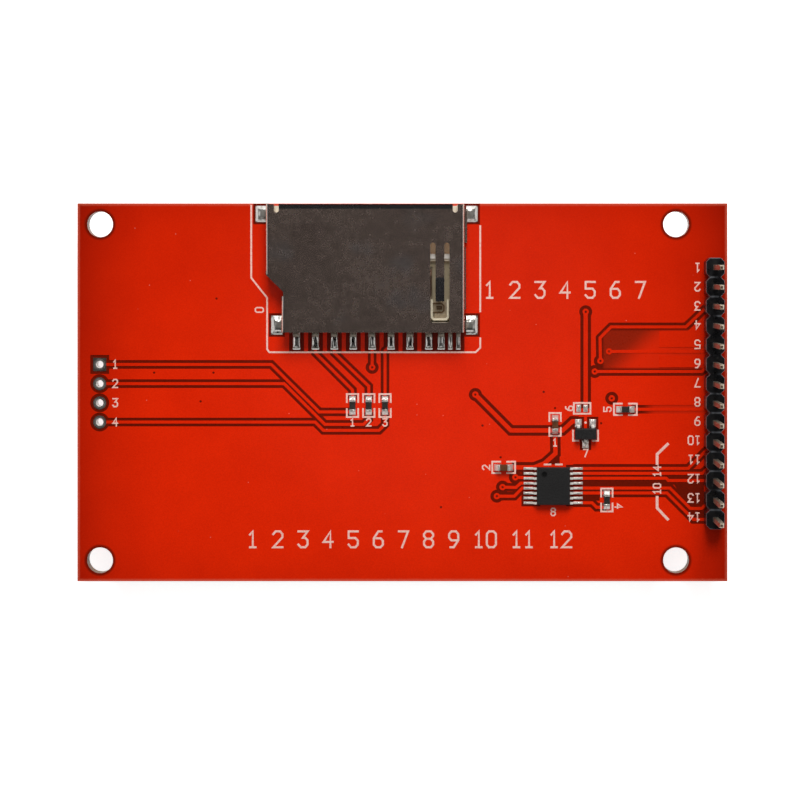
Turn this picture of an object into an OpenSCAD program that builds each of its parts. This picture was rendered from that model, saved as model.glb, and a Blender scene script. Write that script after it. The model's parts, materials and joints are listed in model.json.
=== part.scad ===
// Small colour display module on a red circuit board, component side up.
// Origin: middle of the footprint, on the front face of the touch film, so the module lies on its
// display with +Z up. +X runs along the board to the pin header, +Y to the mouth of the card socket.

/* [Board] */
// Length of the board
board_w = 86; // [80:0.5:94]
// Width of the board
board_l = 50; // [46:0.5:58]
// Thickness of the board's core
board_t = 1.55; // [1.2:0.05:2]
// Thickness of the copper and solder mask on the component side
mask_t = 0.05; // [0.03:0.01:0.1]
// Diameter of the mounting holes
hole_d = 3.4; // [3:0.1:3.6]
// Distance of the holes from the board's plain end
hole_edge = 3; // [2.8:0.1:3.4]
// Distance of the holes from the board's header end
hole_edge_header = 6.8; // [6.6:0.1:7.2]
// Distance of the holes from the board's long sides
hole_side = 2.775; // [2.5:0.025:3.5]

/* [Pin header] */
// Number of pins
header_pins_n = 14; // [13:1:15]
// Pitch of the pins and of the edge pads
pitch = 2.54; // [2.5:0.01:2.6]
// Distance of the pin row from the board's end
header_edge = 1.9; // [1.8:0.1:2.2]
// Side of a square pin
pin_w = 0.64; // [0.5:0.02:0.66]
// Height of the header's housing
housing_h = 2.54; // [2:0.02:3]
// Width of the housing
housing_w = 2.4; // [2.2:0.05:2.5]
// Chamfer at the corners of each housing block
housing_chamfer = 0.5; // [0.3:0.05:0.6]
// Length of a pin above the housing
pin_top = 6; // [5:0.1:7]
// Length of a pin below the board
pin_tail = 1.4; // [1.2:0.1:1.8]
// Distance of the edge pads from the board's plain end
edge_pad_edge = 2.95; // [2.8:0.05:3.2]

/* [Card socket] */
// Width of the socket at its mouth
socket_w = 26; // [25.8:0.1:27]
// Depth of the socket
socket_l = 16.8; // [16.6:0.1:17.4]
// Height of the socket above the board
socket_h = 2.9; // [2.8:0.05:3.3]
// Middle of the socket, from the middle of the board
socket_x = -4.8; // [-6:0.1:-3]
// Distance of the socket's mouth from the board's edge
socket_edge = 0.2; // [0.1:0.05:0.5]
// Thickness of the steel sheet
steel_t = 0.25; // [0.2:0.01:0.3]
// Outer radius of the folds along the steel cover
fold_r = 0.4; // [0.35:0.01:0.5]
// Thickness of the moulded floor
floor_t = 0.45; // [0.4:0.01:0.5]
// Thickness of the contact strip
contact_t = 0.2; // [0.15:0.01:0.22]
// Width of a card contact
contact_w = 0.8; // [0.6:0.05:0.9]
// Distance of the first card contact from the socket's left side
contact_left = 3.8; // [3.6:0.05:4.2]
// Distance of the eighth card contact from the socket's right side
contact_right = 4.7; // [4.6:0.05:5]
// Length of the tails behind the socket
tail_l = 2.2; // [2:0.1:2.4]

/* [Small parts] */
// Length of a chip resistor or capacitor
chip_l = 1.6; // [1.4:0.05:1.7]
// Width of a chip resistor or capacitor
chip_w = 0.8; // [0.7:0.05:0.9]
// Height of a chip resistor
resistor_h = 0.45; // [0.35:0.05:0.6]
// Height of a chip capacitor
capacitor_h = 0.8; // [0.6:0.05:0.9]
// Width of the controller's body
controller_w = 4.4; // [4.2:0.1:4.6]
// Length of the controller's body
controller_l = 5; // [4.9:0.1:5.2]
// Height of the controller's body
controller_h = 0.9; // [0.8:0.05:1]
// Pitch of the controller's leads
lead_pitch = 0.65; // [0.6:0.01:0.66]
// Length of the regulator's body
regulator_w = 2.9; // [2.7:0.1:3.1]
// Width of the regulator's body
regulator_l = 1.5; // [1.3:0.1:1.6]
// Height of the regulator's body
regulator_h = 1; // [0.9:0.05:1.1]

/* [Display panel] */
// Distance of the panel from the board's plain end
panel_edge = 6.5; // [6:0.1:8]
// Distance of the panel from the board's header end
panel_edge_header = 10.3; // [10:0.1:12]
// Thickness of the touch film
film_t = 0.2; // [0.1:0.05:0.3]
// Thickness of the ring that holds the touch film off its glass
spacer_t = 0.1; // [0.1:0.02:0.2]
// Thickness of the touch glass
touch_glass_t = 0.7; // [0.5:0.05:1.1]
// Thickness of the foam ring behind the touch glass
gasket_t = 0.4; // [0.3:0.05:0.6]
// Thickness of each sheet of display glass
glass_t = 0.5; // [0.3:0.05:0.7]
// Thickness of a polariser
polariser_t = 0.15; // [0.1:0.01:0.2]
// Thickness of the prism film, the diffuser film and the reflector
sheet_t = 0.1; // [0.05:0.01:0.15]
// Thickness of the light guide
guide_t = 0.5; // [0.4:0.05:0.8]
// Thickness of the backlight frame's back
frame_back_t = 0.3; // [0.2:0.05:0.5]
// Width of the backlight frame's rim
frame_rim = 1; // [0.8:0.1:1.4]
// Thickness of the foam tape that holds the panel to the board
tape_t = 0.75; // [0.6:0.05:1]
// Thickness of the flexible circuits
flex_t = 0.12; // [0.1:0.01:0.15]
// Width of the display's flexible circuit
flex_w = 24; // [20:1:28]
// Length of the display's flexible circuit under the panel
flex_l = 9; // [7:0.5:12]
// Width of the touch film's flexible circuit
touch_flex_w = 4; // [3:0.5:5]

/* [Hidden] */

$fn = 32;
eps = 0.01;

// Heights, from the front of the display up to the component side
z_touch_glass = film_t + spacer_t;
z_gasket = z_touch_glass + touch_glass_t;
z_filter = z_gasket + gasket_t;
z_array = z_filter + glass_t;
z_rear = z_array + glass_t;
z_prism = z_rear + polariser_t;
z_diffuser = z_prism + sheet_t;
z_guide = z_diffuser + sheet_t;
z_reflector = z_guide + guide_t;
z_frame_back = z_reflector + sheet_t;
z_tape = z_frame_back + frame_back_t;
z_board = z_tape + tape_t;
z_mask = z_board + board_t;
z_top = z_mask + mask_t;

// Mounting holes
hole_x0 = -board_w / 2 + hole_edge;
hole_span_w = board_w - hole_edge - hole_edge_header;
hole_span_l = board_l - 2 * hole_side;

// Display panel, as wide as the board
panel_w = board_w - panel_edge - panel_edge_header;
panel_l = board_l;
panel_end = board_w / 2 - panel_edge_header;
panel_x = panel_end - panel_w / 2;

// Pin header and edge pads
header_x = board_w / 2 - header_edge;
header_hole_r = 0.5;
header_pad_r = 0.85;
pin_taper = 0.3;
joint_h = 0.9;
edge_pads_n = 4;
edge_x = -board_w / 2 + edge_pad_edge;
edge_row_y = -0.13;
edge_pad_r = 0.875;
edge_gap_r = 1.25;

// Card socket: outer faces, the cut corner at its back left, and the places of its contacts
mouth_y = board_l / 2 - socket_edge;
back_y = mouth_y - socket_l;
left_x = socket_x - socket_w / 2;
right_x = socket_x + socket_w / 2;
corner_y = mouth_y - 9.2;
corner_w = 2.28;
corner_step = 0.22;
waist_y = corner_y - corner_w - 0.6;
waist_x = left_x + corner_w - corner_step;
z_sheet = z_top + socket_h - steel_t;
wall_foot = z_top + 0.35;

// Tongue, window, lip and slots of the cover
tongue_x = right_x - 3.2;
tongue_w = 1.15;
tongue_slot = 0.68;
tongue_root_y = mouth_y - 5.05;
tongue_bend_y = mouth_y - 9.6;
tongue_end_y = mouth_y - 12.75;
tongue_drop = 0.75;
window_y = back_y + 1.3;
mouth_slots = [left_x + 1.4, right_x - 1.2];
mouth_slot = [0.64, 1.1];
lip_l = 0.6;
lip_rise = 0.25;
foot_w = 1.3;
foot_reach = 0.35;
// Rims that turn out low on the right wall: [place behind the mouth, length, reach]
rims = [[5, 4.2, 0.35], [13.8, 8.2, 0.2]];

// Moulded base and the pegs that place it on the board
base_gap = 0.05;
rail_w = 0.7;
back_wall = 1;
peg_gap = 0.05;
peg_l = 1.2;
pegs = [[[left_x + 2.4, mouth_y - 3.2], 0.75], [[right_x - 2.4, mouth_y - 3.2], 0.5]];
// Low rib on the floor under the tongue: [width, length, height, distance behind the mouth]
rib = [2.9, 0.65, 0.5, 7.1];
mouth_back = 0.15;

// Contacts
contact_pitch = (socket_w - contact_left - contact_right) / 7;
contacts = [for (i = [0:7]) left_x + contact_left + i * contact_pitch];
last_contact_in = 3.06;
switches_in = [1.86, 0.8];
last_contact_x = right_x - last_contact_in;
switch_xs = [for (d = switches_in) right_x - d];
switch_w = 0.45;
switch_l = 2.2;
leaf_h = 0.9;
tail_y = back_y - tail_l;
tail_step = [0.75, 0.3];
root_y = back_y + 4;
arm = [[3.4, 0.85], [4.3, 0.5]];
groove_gap = 0.1;
groove_l = 4.6;
groove_web = 0.15;
plate_w = 1.8;

// Small parts; those near the header keep their distance from it
bank_x0 = -6.6;
bank_step = 2.15;
bank_y = -1.75;
chip_cap = 0.3;
chip_skin = 0.02;
// Places of the parts from the middle of the header's row
controller_in = [-21.15, -12.35];
regulator_in = [-16.87, -5.45];
jumper_in = [-17.32, -2.12];
capacitor_1_in = [-20.9, -4.25];
capacitor_2_in = [-27.7, -9.93];
resistor_4_in = [-14.05, -14.25];
resistor_5_in = [-11.6, -2.25];
header_row = [header_x, 0];
controller_at = header_row + controller_in;
regulator_at = header_row + regulator_in;
jumper_at = header_row + jumper_in;
capacitor_1_at = header_row + capacitor_1_in;
capacitor_2_at = header_row + capacitor_2_in;
resistor_4_at = header_row + resistor_4_in;
resistor_5_at = header_row + resistor_5_in;
controller_rows = 8;
lead_w = 0.28;
lead_t = 0.13;
lead_reach = 1.1;
regulator_lead_w = 0.42;
regulator_reach = 0.95;
body_lift = 0.1;
body_slope = 0.12;
dimple = [0.32, 0.06];
regulator_step = 0.95;
jumper_step = 0.46;

// Track sizes: half the width of a track, and of the track with the gap beside it
track = [0.2, 0.57];
power = [0.29, 0.7];
via = [0.42, 0.86];
via_hole_r = 0.15;
pad_gap = 0.3;
tail_gap = 0.48;
silk_t = 0.02;
silk_w = 0.23;
bracket_w = 0.36;
frame_break = 0.7;

// Solder lands, and the height of the solder on them
tab_land = [1.5, 2.15];
back_tab_land = [1.5, 2.5];
tab_out = [0.88, 1];
tab_in = [1.2, 0.9];
tail_land = [contact_w + 0.2, tail_l + 0.1];
chip_land = [chip_w + 0.1, 0.95];
lead_land = [1.75, 0.34];
lead_land_out = 0.85;
regulator_land_out = 0.6;
regulator_land = [0.9, 1.1];
jumper_land = [0.65, 1];
land_edge = 0.025;
mound_h = 0.32;
toe = [0.22, 0.2];

// Display panel
touch_inset = 0.3;
touch_ring = 2.5;
touch_w = panel_w - 2 * touch_inset;
touch_l = panel_l - 2 * touch_inset;
glass_clear = 0.1;
glass_w = panel_w - 2 * frame_rim - 2 * glass_clear;
glass_l = panel_l - 2 * frame_rim - 2 * glass_clear;
ledge_w = 3;
filter_w = glass_w - ledge_w;
filter_x = panel_x - ledge_w / 2;
ring_w = 2.2;
seat_w = 1.2;
film_clear = 0.1;
film_w = glass_w - 2 * seat_w;
film_l = glass_l - 2 * seat_w;
led_room = 1.4;
led = [0.7, 3];
led_strip_w = 1;
guide_w = film_w - led_room;
guide_x = panel_x - led_room / 2;
driver = [0.9, 18, 0.3];

// Flexible circuits and tape
flex_grip = 0.9;
flex_turn = panel_end + 0.5;
flex_gap = 0.3;
display_flex_end = panel_end - flex_l;
touch_flex_y = -panel_l / 2 + 9;
touch_flex_end = panel_end - flex_l / 2;
flex_joints_n = 18;
touch_joints_n = 4;
joint = [0.5, 0.7, 0.12];
tape_w = 4;
tape_edge = [4, 0.5];

// ---- helpers ---------------------------------------------------------------------------------

function unit(v) = v / norm(v);
function side(a, b) = [-unit(b - a).y, unit(b - a).x];
// One corner of a band: the point pushed out along the mitre of its two edges
function mitre(p, i, h) =
    let (n = len(p) - 1,
         a = i == 0 ? side(p[0], p[1]) : side(p[i - 1], p[i]),
         b = i == n ? side(p[n - 1], p[n]) : side(p[i], p[i + 1]))
    p[i] + h * (a + b) / (1 + a * b);
// Outline of a band of half width h along an open line of points
function band(p, h) = concat(
    [for (i = [0:len(p) - 1]) mitre(p, i, h)],
    [for (i = [len(p) - 1:-1:0]) mitre(p, i, -h)]);
// Points along an arc, for bands that bend
function arc(c, r, a0, a1, steps) =
    [for (i = [0:steps]) let (a = a0 + (a1 - a0) * i / steps) c + r * [cos(a), sin(a)]];

function header_pin(i) = [header_x, (header_pins_n - 1) * pitch / 2 - i * pitch];
function edge_pad(i) = [edge_x, edge_row_y + (edge_pads_n - 1) * pitch / 2 - i * pitch];
function bank(i) = [bank_x0 + i * bank_step, bank_y];
function lead_y(i) = controller_at.y + ((controller_rows - 1) / 2 - i) * lead_pitch;
function near_header(points) = [for (p = points) [header_x + p.x, p.y]];
function mounting_holes() = [for (x = [0, hole_span_w], y = [-1, 1])
    [hole_x0 + x, y * hole_span_l / 2]];

module plate(w, l, t) translate([-w / 2, -l / 2, 0]) cube([w, l, t]);
module rect(at, size) translate(at - size / 2) square(size);

// A profile drawn in the Y-Z plane, given a width along X about x
module strip_yz(x, w) translate([x - w / 2, 0, 0]) rotate([90, 0, 90])
    linear_extrude(w) children();
// A profile drawn in the X-Z plane, given a width along Y about y
module strip_xz(y, w) translate([0, y + w / 2, 0]) rotate([90, 0, 0])
    linear_extrude(w) children();

// ---- copper, pads and print ------------------------------------------------------------------

// Vias that show their ring, measured from the header's row
power_via = [-31.45, -0.3];
jumper_via = [-16.85, 10.65];
touch_vias = [[-26.15, -11.25], [-27.85, -12.55], [-28.6, -13.75]];
signal_vias = [[-14.9, 4.15], [-13.75, 5.4], [-15.65, 2.75]];
// Tracks of the card socket and the edge pads: [half widths, points]
card_tracks = [
    [track, [edge_pad(0), [contacts[0] - 3.35, edge_pad(0).y],
        [bank(0).x - 4.4, bank(0).y - 0.85], bank(0) - [0, 0.85]]],
    [track, [edge_pad(1), [contacts[0] - 1.65, edge_pad(1).y],
        [bank(0).x - 3.65, bank(0).y - 2.5], [bank(1).x - 0.7, bank(0).y - 2.5],
        bank(1) - [0, 1.8], bank(1) - [0, 0.85]]],
    [track, [edge_pad(3), [bank(0).x - 4.95, edge_pad(3).y],
        [bank(0).x - 3.85, edge_pad(3).y - 1.1], [bank(2).x - 0.8, edge_pad(3).y - 1.1],
        bank(2) - [0, 2.5], bank(2) - [0, 0.85]]],
    [track, [[contacts[1], tail_y], [contacts[1], tail_y - 0.6],
        bank(0) + [0, 2.05], bank(0) + [0, 0.85]]],
    [track, [[contacts[2], tail_y], [contacts[2], tail_y - 0.6],
        bank(1) + [0, 2.55], bank(1) + [0, 0.85]]],
    [track, [[contacts[4], tail_y], [contacts[4], tail_y - 2.5]]],
    [track, [[contacts[5] - 0.3, tail_y + 0.2], [bank(2).x, tail_y - 0.3],
        bank(2) + [0, 0.85]]]];
// Tracks that end at the header, measured from its pin row
header_tracks = [for (t = [
    [power, [power_via, [-26.75, -5.05], [-19.9, -5.05], [-18.6, -3.85], [-17.8, -3.85]]],
    [power, [[-20.9, -5.1], [-20.85, -8.1], [-22.3, -9.4], [-23.7, -9.95], [-26.6, -9.93]]],
    [power, [jumper_via, [jumper_via.x, jumper_at.y]]],
    [track, [touch_vias[0], [-23.4, lead_y(2)]]],
    [track, [touch_vias[1], [-26.1, -12.6], [-25.45, lead_y(3)], [-23.4, lead_y(3)]]],
    [track, [touch_vias[2], [-26.3, -13.75], [-25.25, lead_y(4)], [-23.4, lead_y(4)]]],
    [track, [[-18.5, lead_y(0)], [-3.3, lead_y(0)], [-0.4, lead_y(0) + 2.9]]],
    [track, [[-18.5, lead_y(1)], [-1.4, lead_y(1)], [-0.4, lead_y(1) + 1]]],
    [track, [[-18.5, lead_y(2)], [-6.2, lead_y(2)], [-5.9, lead_y(2) - 0.3],
        [-0.4, lead_y(2) - 0.3]]],
    [track, [[-18.5, lead_y(4)], [-5.7, lead_y(4)], [-3, lead_y(4) - 2.7],
        [-1.5, lead_y(4) - 2.7], [-0.4, lead_y(4) - 1.6]]],
    [track, [[-18.5, lead_y(5)], [-6.1, lead_y(5)], [-2.6, lead_y(5) - 3.5],
        [-0.4, lead_y(5) - 3.5]]],
    [track, [[-18.5, lead_y(7)], [-16, lead_y(7)], [-15.4, lead_y(7) - 0.6],
        [-14.1, lead_y(7) - 0.6]]],
    [track, [signal_vias[0], [-14.95, 7.2], [-13.5, 8.65], [-3.6, 8.65], [-0.9, 11.2]]],
    [track, [signal_vias[1], [-1.2, signal_vias[1].y], [-0.4, 6.1]]],
    [track, [signal_vias[2], [-1.5, signal_vias[2].y], [-0.4, 3.6]]],
    [track, [[-10.8, resistor_5_at.y], [-1.4, resistor_5_at.y], [-0.5, -1.5]]]])
    [t[0], near_header(t[1])]];
tracks = concat(card_tracks, header_tracks);
ring_vias = concat([[contacts[4], tail_y - 2.5]],
    near_header(concat([power_via, jumper_via, [-13.4, -0.8]], touch_vias, signal_vias)));
// Small vias that the mask covers
small_vias = concat([[-24.6, 12.4], [-32.85, 2.6], [-25, 2.6], [-26.7, -1.2], [5.1, -15.2]],
    near_header([[-22.4, 0.05], [-30.5, -4.4], [-20.9, -2.1], [-14.8, -4.1], [-28.1, -8.6]]));
// Places with no copper between the tracks
bare_areas = [for (p = [
    [[-14.7, 3], [-14.7, 7.05], [-13.35, 8.4], [-7.1, 8.4], [-7.1, 3]],
    [[-17.1, -11.6], [-6.2, -11.6], [-6, -12.4], [-17.1, -12.4]],
    [[-17.1, -13.6], [-15, -13.6], [-15, -14.35], [-17.1, -14.35]],
    [[-5.3, -12], [-1.2, -12], [-1.2, -16.3], [-2.5, -16.3]],
    [[-21.6, -9.6], [-20.85, -8.6], [-20.3, -8.6], [-20.3, -9.6]]]) near_header(p)];

// Solder lands: [centre, size]
function chip_lands(at, along_y) = let (out = chip_l / 2) [for (s = [-1, 1])
    along_y ? [at + [0, s * out], chip_land] : [at + [s * out, 0], [chip_land.y, chip_land.x]]];
tab_lands = [
    [[left_x - tab_out[0], mouth_y - tab_in[0]], tab_land],
    [[right_x + tab_out[1], mouth_y - tab_in[0]], tab_land],
    [[waist_x - tab_out[0], back_y + tab_in[1]], back_tab_land],
    [[right_x + tab_out[1], back_y + tab_in[1]], back_tab_land]];
contact_lands = [for (x = concat(contacts, [last_contact_x]))
    [[x, tail_y + tail_l / 2 - 0.1], tail_land]];
switch_lands = [for (x = switch_xs)
    [[x, tail_y + tail_l / 2 - 0.1], [switch_w + 0.2, tail_land.y]]];
controller_lands = [for (i = [0:controller_rows - 1], s = [-1, 1])
    [[controller_at.x + s * (controller_w / 2 + lead_land_out), lead_y(i)], lead_land]];
regulator_feet = [[-1, 1], [1, 1], [0, -1]];
regulator_lands = [for (p = regulator_feet)
    [regulator_at + [p.x * regulator_step, p.y * (regulator_l / 2 + regulator_land_out)], regulator_land]];
jumper_lands = [for (s = [-1, 1]) [jumper_at + [s * jumper_step, 0], jumper_land]];
bank_lands = [for (i = [0:2]) each chip_lands(bank(i), true)];
other_chip_lands = concat(chip_lands(resistor_4_at, true), chip_lands(resistor_5_at, false),
    chip_lands(capacitor_1_at, true), chip_lands(capacitor_2_at, false));
lands = concat(tab_lands, contact_lands, switch_lands, controller_lands, regulator_lands,
    jumper_lands, bank_lands, other_chip_lands);

// Everything that is etched away or left bare round the copper that stays
module etched() {
    for (t = tracks) polygon(band(t[1], t[0][1]));
    for (v = ring_vias) translate(v) circle(via[1]);
    for (a = bare_areas) polygon(a);
    for (s = tab_lands) rect(s[0], s[1] + [2, 2] * pad_gap);
    for (s = concat(contact_lands, switch_lands)) rect(s[0], s[1] + 2 * [tail_gap, pad_gap]);
    rect(controller_at, [controller_w + 4, controller_l + 0.5]);
    for (s = regulator_lands) rect(s[0], s[1] + [2, 2] * pad_gap);
    rect(edge_pad(0), [2, 2] * edge_gap_r);
    for (i = [1:edge_pads_n - 1]) translate(edge_pad(i)) circle(edge_gap_r);
}

module kept_copper() {
    for (t = tracks) polygon(band(t[1], t[0][0]));
    for (v = ring_vias) translate(v) circle(via[0]);
    rect(controller_at, [controller_w - 1, controller_l + 0.6]);
}

module land_shapes() {
    for (s = lands) rect(s[0], s[1]);
    rect(edge_pad(0), [2, 2] * edge_pad_r);
    for (i = [1:edge_pads_n - 1]) translate(edge_pad(i)) circle(edge_pad_r);
    for (i = [0:header_pins_n - 1]) translate(header_pin(i)) circle(header_pad_r);
}

module drilled() {
    for (h = mounting_holes()) translate(h) circle(hole_d / 2);
    pin_drills();
    peg_shapes(peg_gap);
}

module pin_drills() {
    for (i = [0:header_pins_n - 1]) translate(header_pin(i)) circle(header_hole_r);
    for (i = [0:edge_pads_n - 1]) translate(edge_pad(i)) circle(header_hole_r);
}

// The glass-fibre board with its drilled holes
module board() {
    color("#8f1a08")
    difference() {
        translate([0, 0, z_board]) plate(board_w, board_l, board_t);
        translate([0, 0, z_board - eps]) linear_extrude(board_t + 2 * eps) drilled();
    }
}

// Copper and red solder mask: one thin sheet, open where the copper is etched away
module top_layer() {
    color("#d62200")
    translate([0, 0, z_mask]) linear_extrude(mask_t)
    difference() {
        square([board_w, board_l], center = true);
        difference() {
            etched();
            kept_copper();
        }
        land_shapes();
        drilled();
        for (v = concat(ring_vias, small_vias)) translate(v) circle(via_hole_r);
    }
}

// Tinned lands, flush with the mask, and the rings of the edge pads under the board
module pads() {
    color("#cfcac2") {
        translate([0, 0, z_mask]) linear_extrude(mask_t) difference() {
            land_shapes();
            pin_drills();
        }
        for (i = [0:edge_pads_n - 1])
            translate([edge_pad(i).x, edge_pad(i).y, z_board - mask_t]) difference() {
                cylinder(r = edge_pad_r, h = mask_t);
                translate([0, 0, -eps]) cylinder(r = header_hole_r, h = 1);
            }
    }
}

// A frame of print round a part, broken at the middle of its long sides
module print_frame(at, size, gap) {
    translate(at) difference() {
        square(size, center = true);
        square(size - [2, 2] * silk_w, center = true);
        if (gap > 0) square(size.x > size.y ? [gap, size.y + 1] : [size.x + 1, gap], center = true);
    }
}

// White print: frames and outlines only
module silk_print() {
    frame_size = [chip_land.x + 0.83, chip_l + chip_land.y + 0.7];
    socket_line = [
        [left_x - 2.2, mouth_y], [left_x - 2.2, corner_y - 0.45], [left_x - 0.1, corner_y - 3.1],
        [left_x - 0.1, tail_y - 0.1], [left_x + 0.2, tail_y - 0.5], [right_x + 1.5, tail_y - 0.5],
        [right_x + 2.1, tail_y + 0.1], [right_x + 2.1, back_y - 0.75]];
    brackets = [[[-5.9, -6.75], [-7.4, -8.2], [-7.4, -9.6]],
        [[-7.4, -13.7], [-7.4, -15.3], [-5.9, -16.9]]];
    color("#e0a59f")
    translate([0, 0, z_top]) linear_extrude(silk_t) {
        difference() {
            polygon(band(socket_line, silk_w / 2));
            for (s = [tab_lands[2], tab_lands[0]]) rect(s[0], s[1] + [2, 2] * pad_gap);
        }
        polygon(band([[right_x + 2.1, back_y + 2.6], [right_x + 2.1, mouth_y - 2.7]], silk_w / 2));
        for (at = [bank(0), bank(1), bank(2), resistor_4_at, capacitor_1_at])
            print_frame(at, frame_size, frame_break);
        for (at = [resistor_5_at, capacitor_2_at])
            print_frame(at, [frame_size.y, frame_size.x], frame_break);
        print_frame(jumper_at, 2 * [jumper_step, 0] + jumper_land + [0.85, 0.65], 0);
        for (s = [-1, 1]) {
            polygon(band([for (p = [[0.85, -0.95], [1.65, -0.95], [1.65, 0.5]])
                regulator_at + [s * p.x, p.y]], silk_w / 2));
            rect(controller_at + [s * 0.75, controller_l / 2 + 0.3], [1, silk_w]);
        }
        translate(regulator_at + [0, regulator_l / 2 + 0.7]) circle(0.16);
        for (b = brackets) polygon(band(near_header(b), bracket_w / 2));
    }
}

// ---- card socket -----------------------------------------------------------------------------

// Outline of the socket, drawn in from its outer faces by d; the back left corner is cut
function socket_outline(d) = let (k = d * tan(22.5)) [
    [left_x + d, mouth_y], [left_x + d, corner_y + k],
    [left_x + corner_w + d, corner_y - corner_w + k],
    [left_x + corner_w + d, waist_y - d], [waist_x + d, waist_y - d],
    [waist_x + d, back_y + d], [right_x - d, back_y + d], [right_x - d, mouth_y]];

// Slot with round ends from y0 up to y1
module round_slot(x, w, y0, y1) {
    translate([x - w / 2, y0 + w / 2]) square([w, y1 - y0 - w]);
    for (y = [y0 + w / 2, y1 - w / 2]) translate([x, y]) circle(w / 2);
}

module shell_openings() {
    slot_x = (tongue_w + tongue_slot) / 2;
    for (s = [-1, 1])
        round_slot(tongue_x + s * slot_x, tongue_slot, window_y, tongue_root_y);
    translate([tongue_x - slot_x, window_y]) square([2 * slot_x, tongue_bend_y - window_y]);
    for (x = mouth_slots) {
        translate([x, mouth_y - mouth_slot.y + mouth_slot.x / 2]) circle(mouth_slot.x / 2);
        rect([x, mouth_y], [mouth_slot.x, 2 * mouth_slot.y - mouth_slot.x]);
    }
    rect([(mouth_slots[0] + mouth_slots[1]) / 2, mouth_y],
        [mouth_slots[1] - mouth_slots[0], 2 * lip_l]);
}

// Top and both side walls of a stretch of the cover, from x0 to x1 and y0 to y1, with round folds
module folded_stretch(x0, x1, y0, y1) {
    z1 = z_top + socket_h;
    cl = [x0 + fold_r, z1 - fold_r];
    cr = [x1 - fold_r, z1 - fold_r];
    inner_r = fold_r - steel_t;
    strip_xz((y0 + y1) / 2, y1 - y0) polygon(concat(
        [[x0, wall_foot]], arc(cl, fold_r, 180, 90, 6), arc(cr, fold_r, 90, 0, 6),
        [[x1, wall_foot], [x1 - steel_t, wall_foot]], arc(cr, inner_r, 0, 90, 4),
        arc(cl, inner_r, 90, 180, 4), [[x0 + steel_t, wall_foot]]));
}

// Stamped cover: top, folded sides, raised lip, spring tongue and four soldered feet
module socket_shell() {
    half = steel_t / 2;
    o = socket_outline(half);
    lip_x = (mouth_slots[0] + mouth_slots[1]) / 2;
    lip_w = mouth_slots[1] - mouth_slots[0] - mouth_slot.x;
    color("#4a4440") {
        difference() {
            union() {
                folded_stretch(left_x, right_x, corner_y, mouth_y);
                folded_stretch(waist_x, right_x, back_y, waist_y);
                intersection() {
                    folded_stretch(left_x - corner_w, right_x, waist_y - eps, corner_y + eps);
                    translate([0, 0, z_top]) linear_extrude(socket_h + 1)
                        polygon(socket_outline(0));
                }
                translate([0, 0, wall_foot]) linear_extrude(z_sheet + half - wall_foot)
                    polygon(band([o[1] + [0, fold_r], o[1], o[2], o[3], o[4],
                        o[4] - [0, fold_r]], half));
            }
            translate([0, 0, z_sheet - fold_r]) linear_extrude(1) shell_openings();
        }
        // lip at the mouth, raised to lead a card in
        strip_yz(lip_x, lip_w)
            polygon([[mouth_y - lip_l, z_sheet], [mouth_y, z_sheet + lip_rise],
                [mouth_y, z_sheet + lip_rise + steel_t], [mouth_y - lip_l, z_sheet + steel_t]]);
        // tongue, bent down towards the card
        strip_yz(tongue_x, tongue_w)
            polygon([[tongue_bend_y, z_sheet], [tongue_bend_y, z_sheet + steel_t],
                [tongue_end_y, z_sheet + steel_t - tongue_drop],
                [tongue_end_y, z_sheet - tongue_drop]]);
        for (r = rims) translate([right_x - eps, mouth_y - r[0], wall_foot])
            cube([r[2] + eps, r[1] - eps, steel_t]);
        for (i = [0:3]) shell_foot(tab_lands[i][0], i);
    }
}

// A foot: a strip that comes down from the wall and turns out flat on its land
module shell_foot(land, i) {
    outward = i % 2 == 0 ? -1 : 1;
    wall_x = i == 0 ? left_x : i == 2 ? waist_x : right_x;
    toe_x = land.x + outward * foot_reach;
    y0 = land.y - foot_w / 2;
    translate([outward < 0 ? wall_x : wall_x - steel_t, y0, z_top])
        cube([steel_t, foot_w, wall_foot - z_top + eps]);
    translate([min(wall_x, toe_x), y0, z_top]) cube([abs(toe_x - wall_x), foot_w, steel_t]);
}

// Locating pegs of the base, in holes of the board
module peg_shapes(grow) {
    for (p = pegs) translate(p[0]) circle(p[1] + grow);
}

// Moulded base: floor, side rails that guide the card, and a back wall with slots for contacts
module socket_base() {
    inner = steel_t + base_gap;
    rail_in = inner + rail_w;
    o = socket_outline(rail_in);
    groove_w = contact_w + 2 * groove_gap;
    wall_y = back_y + inner + back_wall;
    color("#d8cbb4")
    difference() {
        union() {
            translate([0, 0, z_top]) linear_extrude(floor_t) base_shape(inner);
            translate([0, 0, z_top]) linear_extrude(socket_h - fold_r) difference() {
                base_shape(inner);
                polygon([o[0] + [0, 1], o[1], o[2], o[3], [left_x + corner_w + rail_in, wall_y],
                    [right_x - rail_in, wall_y], o[7] + [0, 1]]);
            }
            translate([0, 0, z_top - peg_l]) linear_extrude(peg_l + eps) peg_shapes(0);
            translate([tongue_x, mouth_y - rib[3], z_top + floor_t - eps])
                plate(rib[0], rib[1], rib[2]);
        }
        // grooves under the springs, so that they can give, and slots through the back wall
        for (x = contacts)
            translate([x - groove_w / 2, root_y, z_top + groove_web])
                cube([groove_w, groove_l, floor_t]);
        for (x = concat(contacts, [last_contact_x], switch_xs))
            translate([x - contact_w / 2, back_y - eps, z_top + floor_t])
                cube([contact_w, root_y - back_y, contact_t]);
    }
}

// The base's outline, drawn back from the cover's mouth
module base_shape(d) {
    difference() {
        polygon(socket_outline(d));
        rect([socket_x, mouth_y], [socket_w + 2, 2 * mouth_back]);
    }
}

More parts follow.
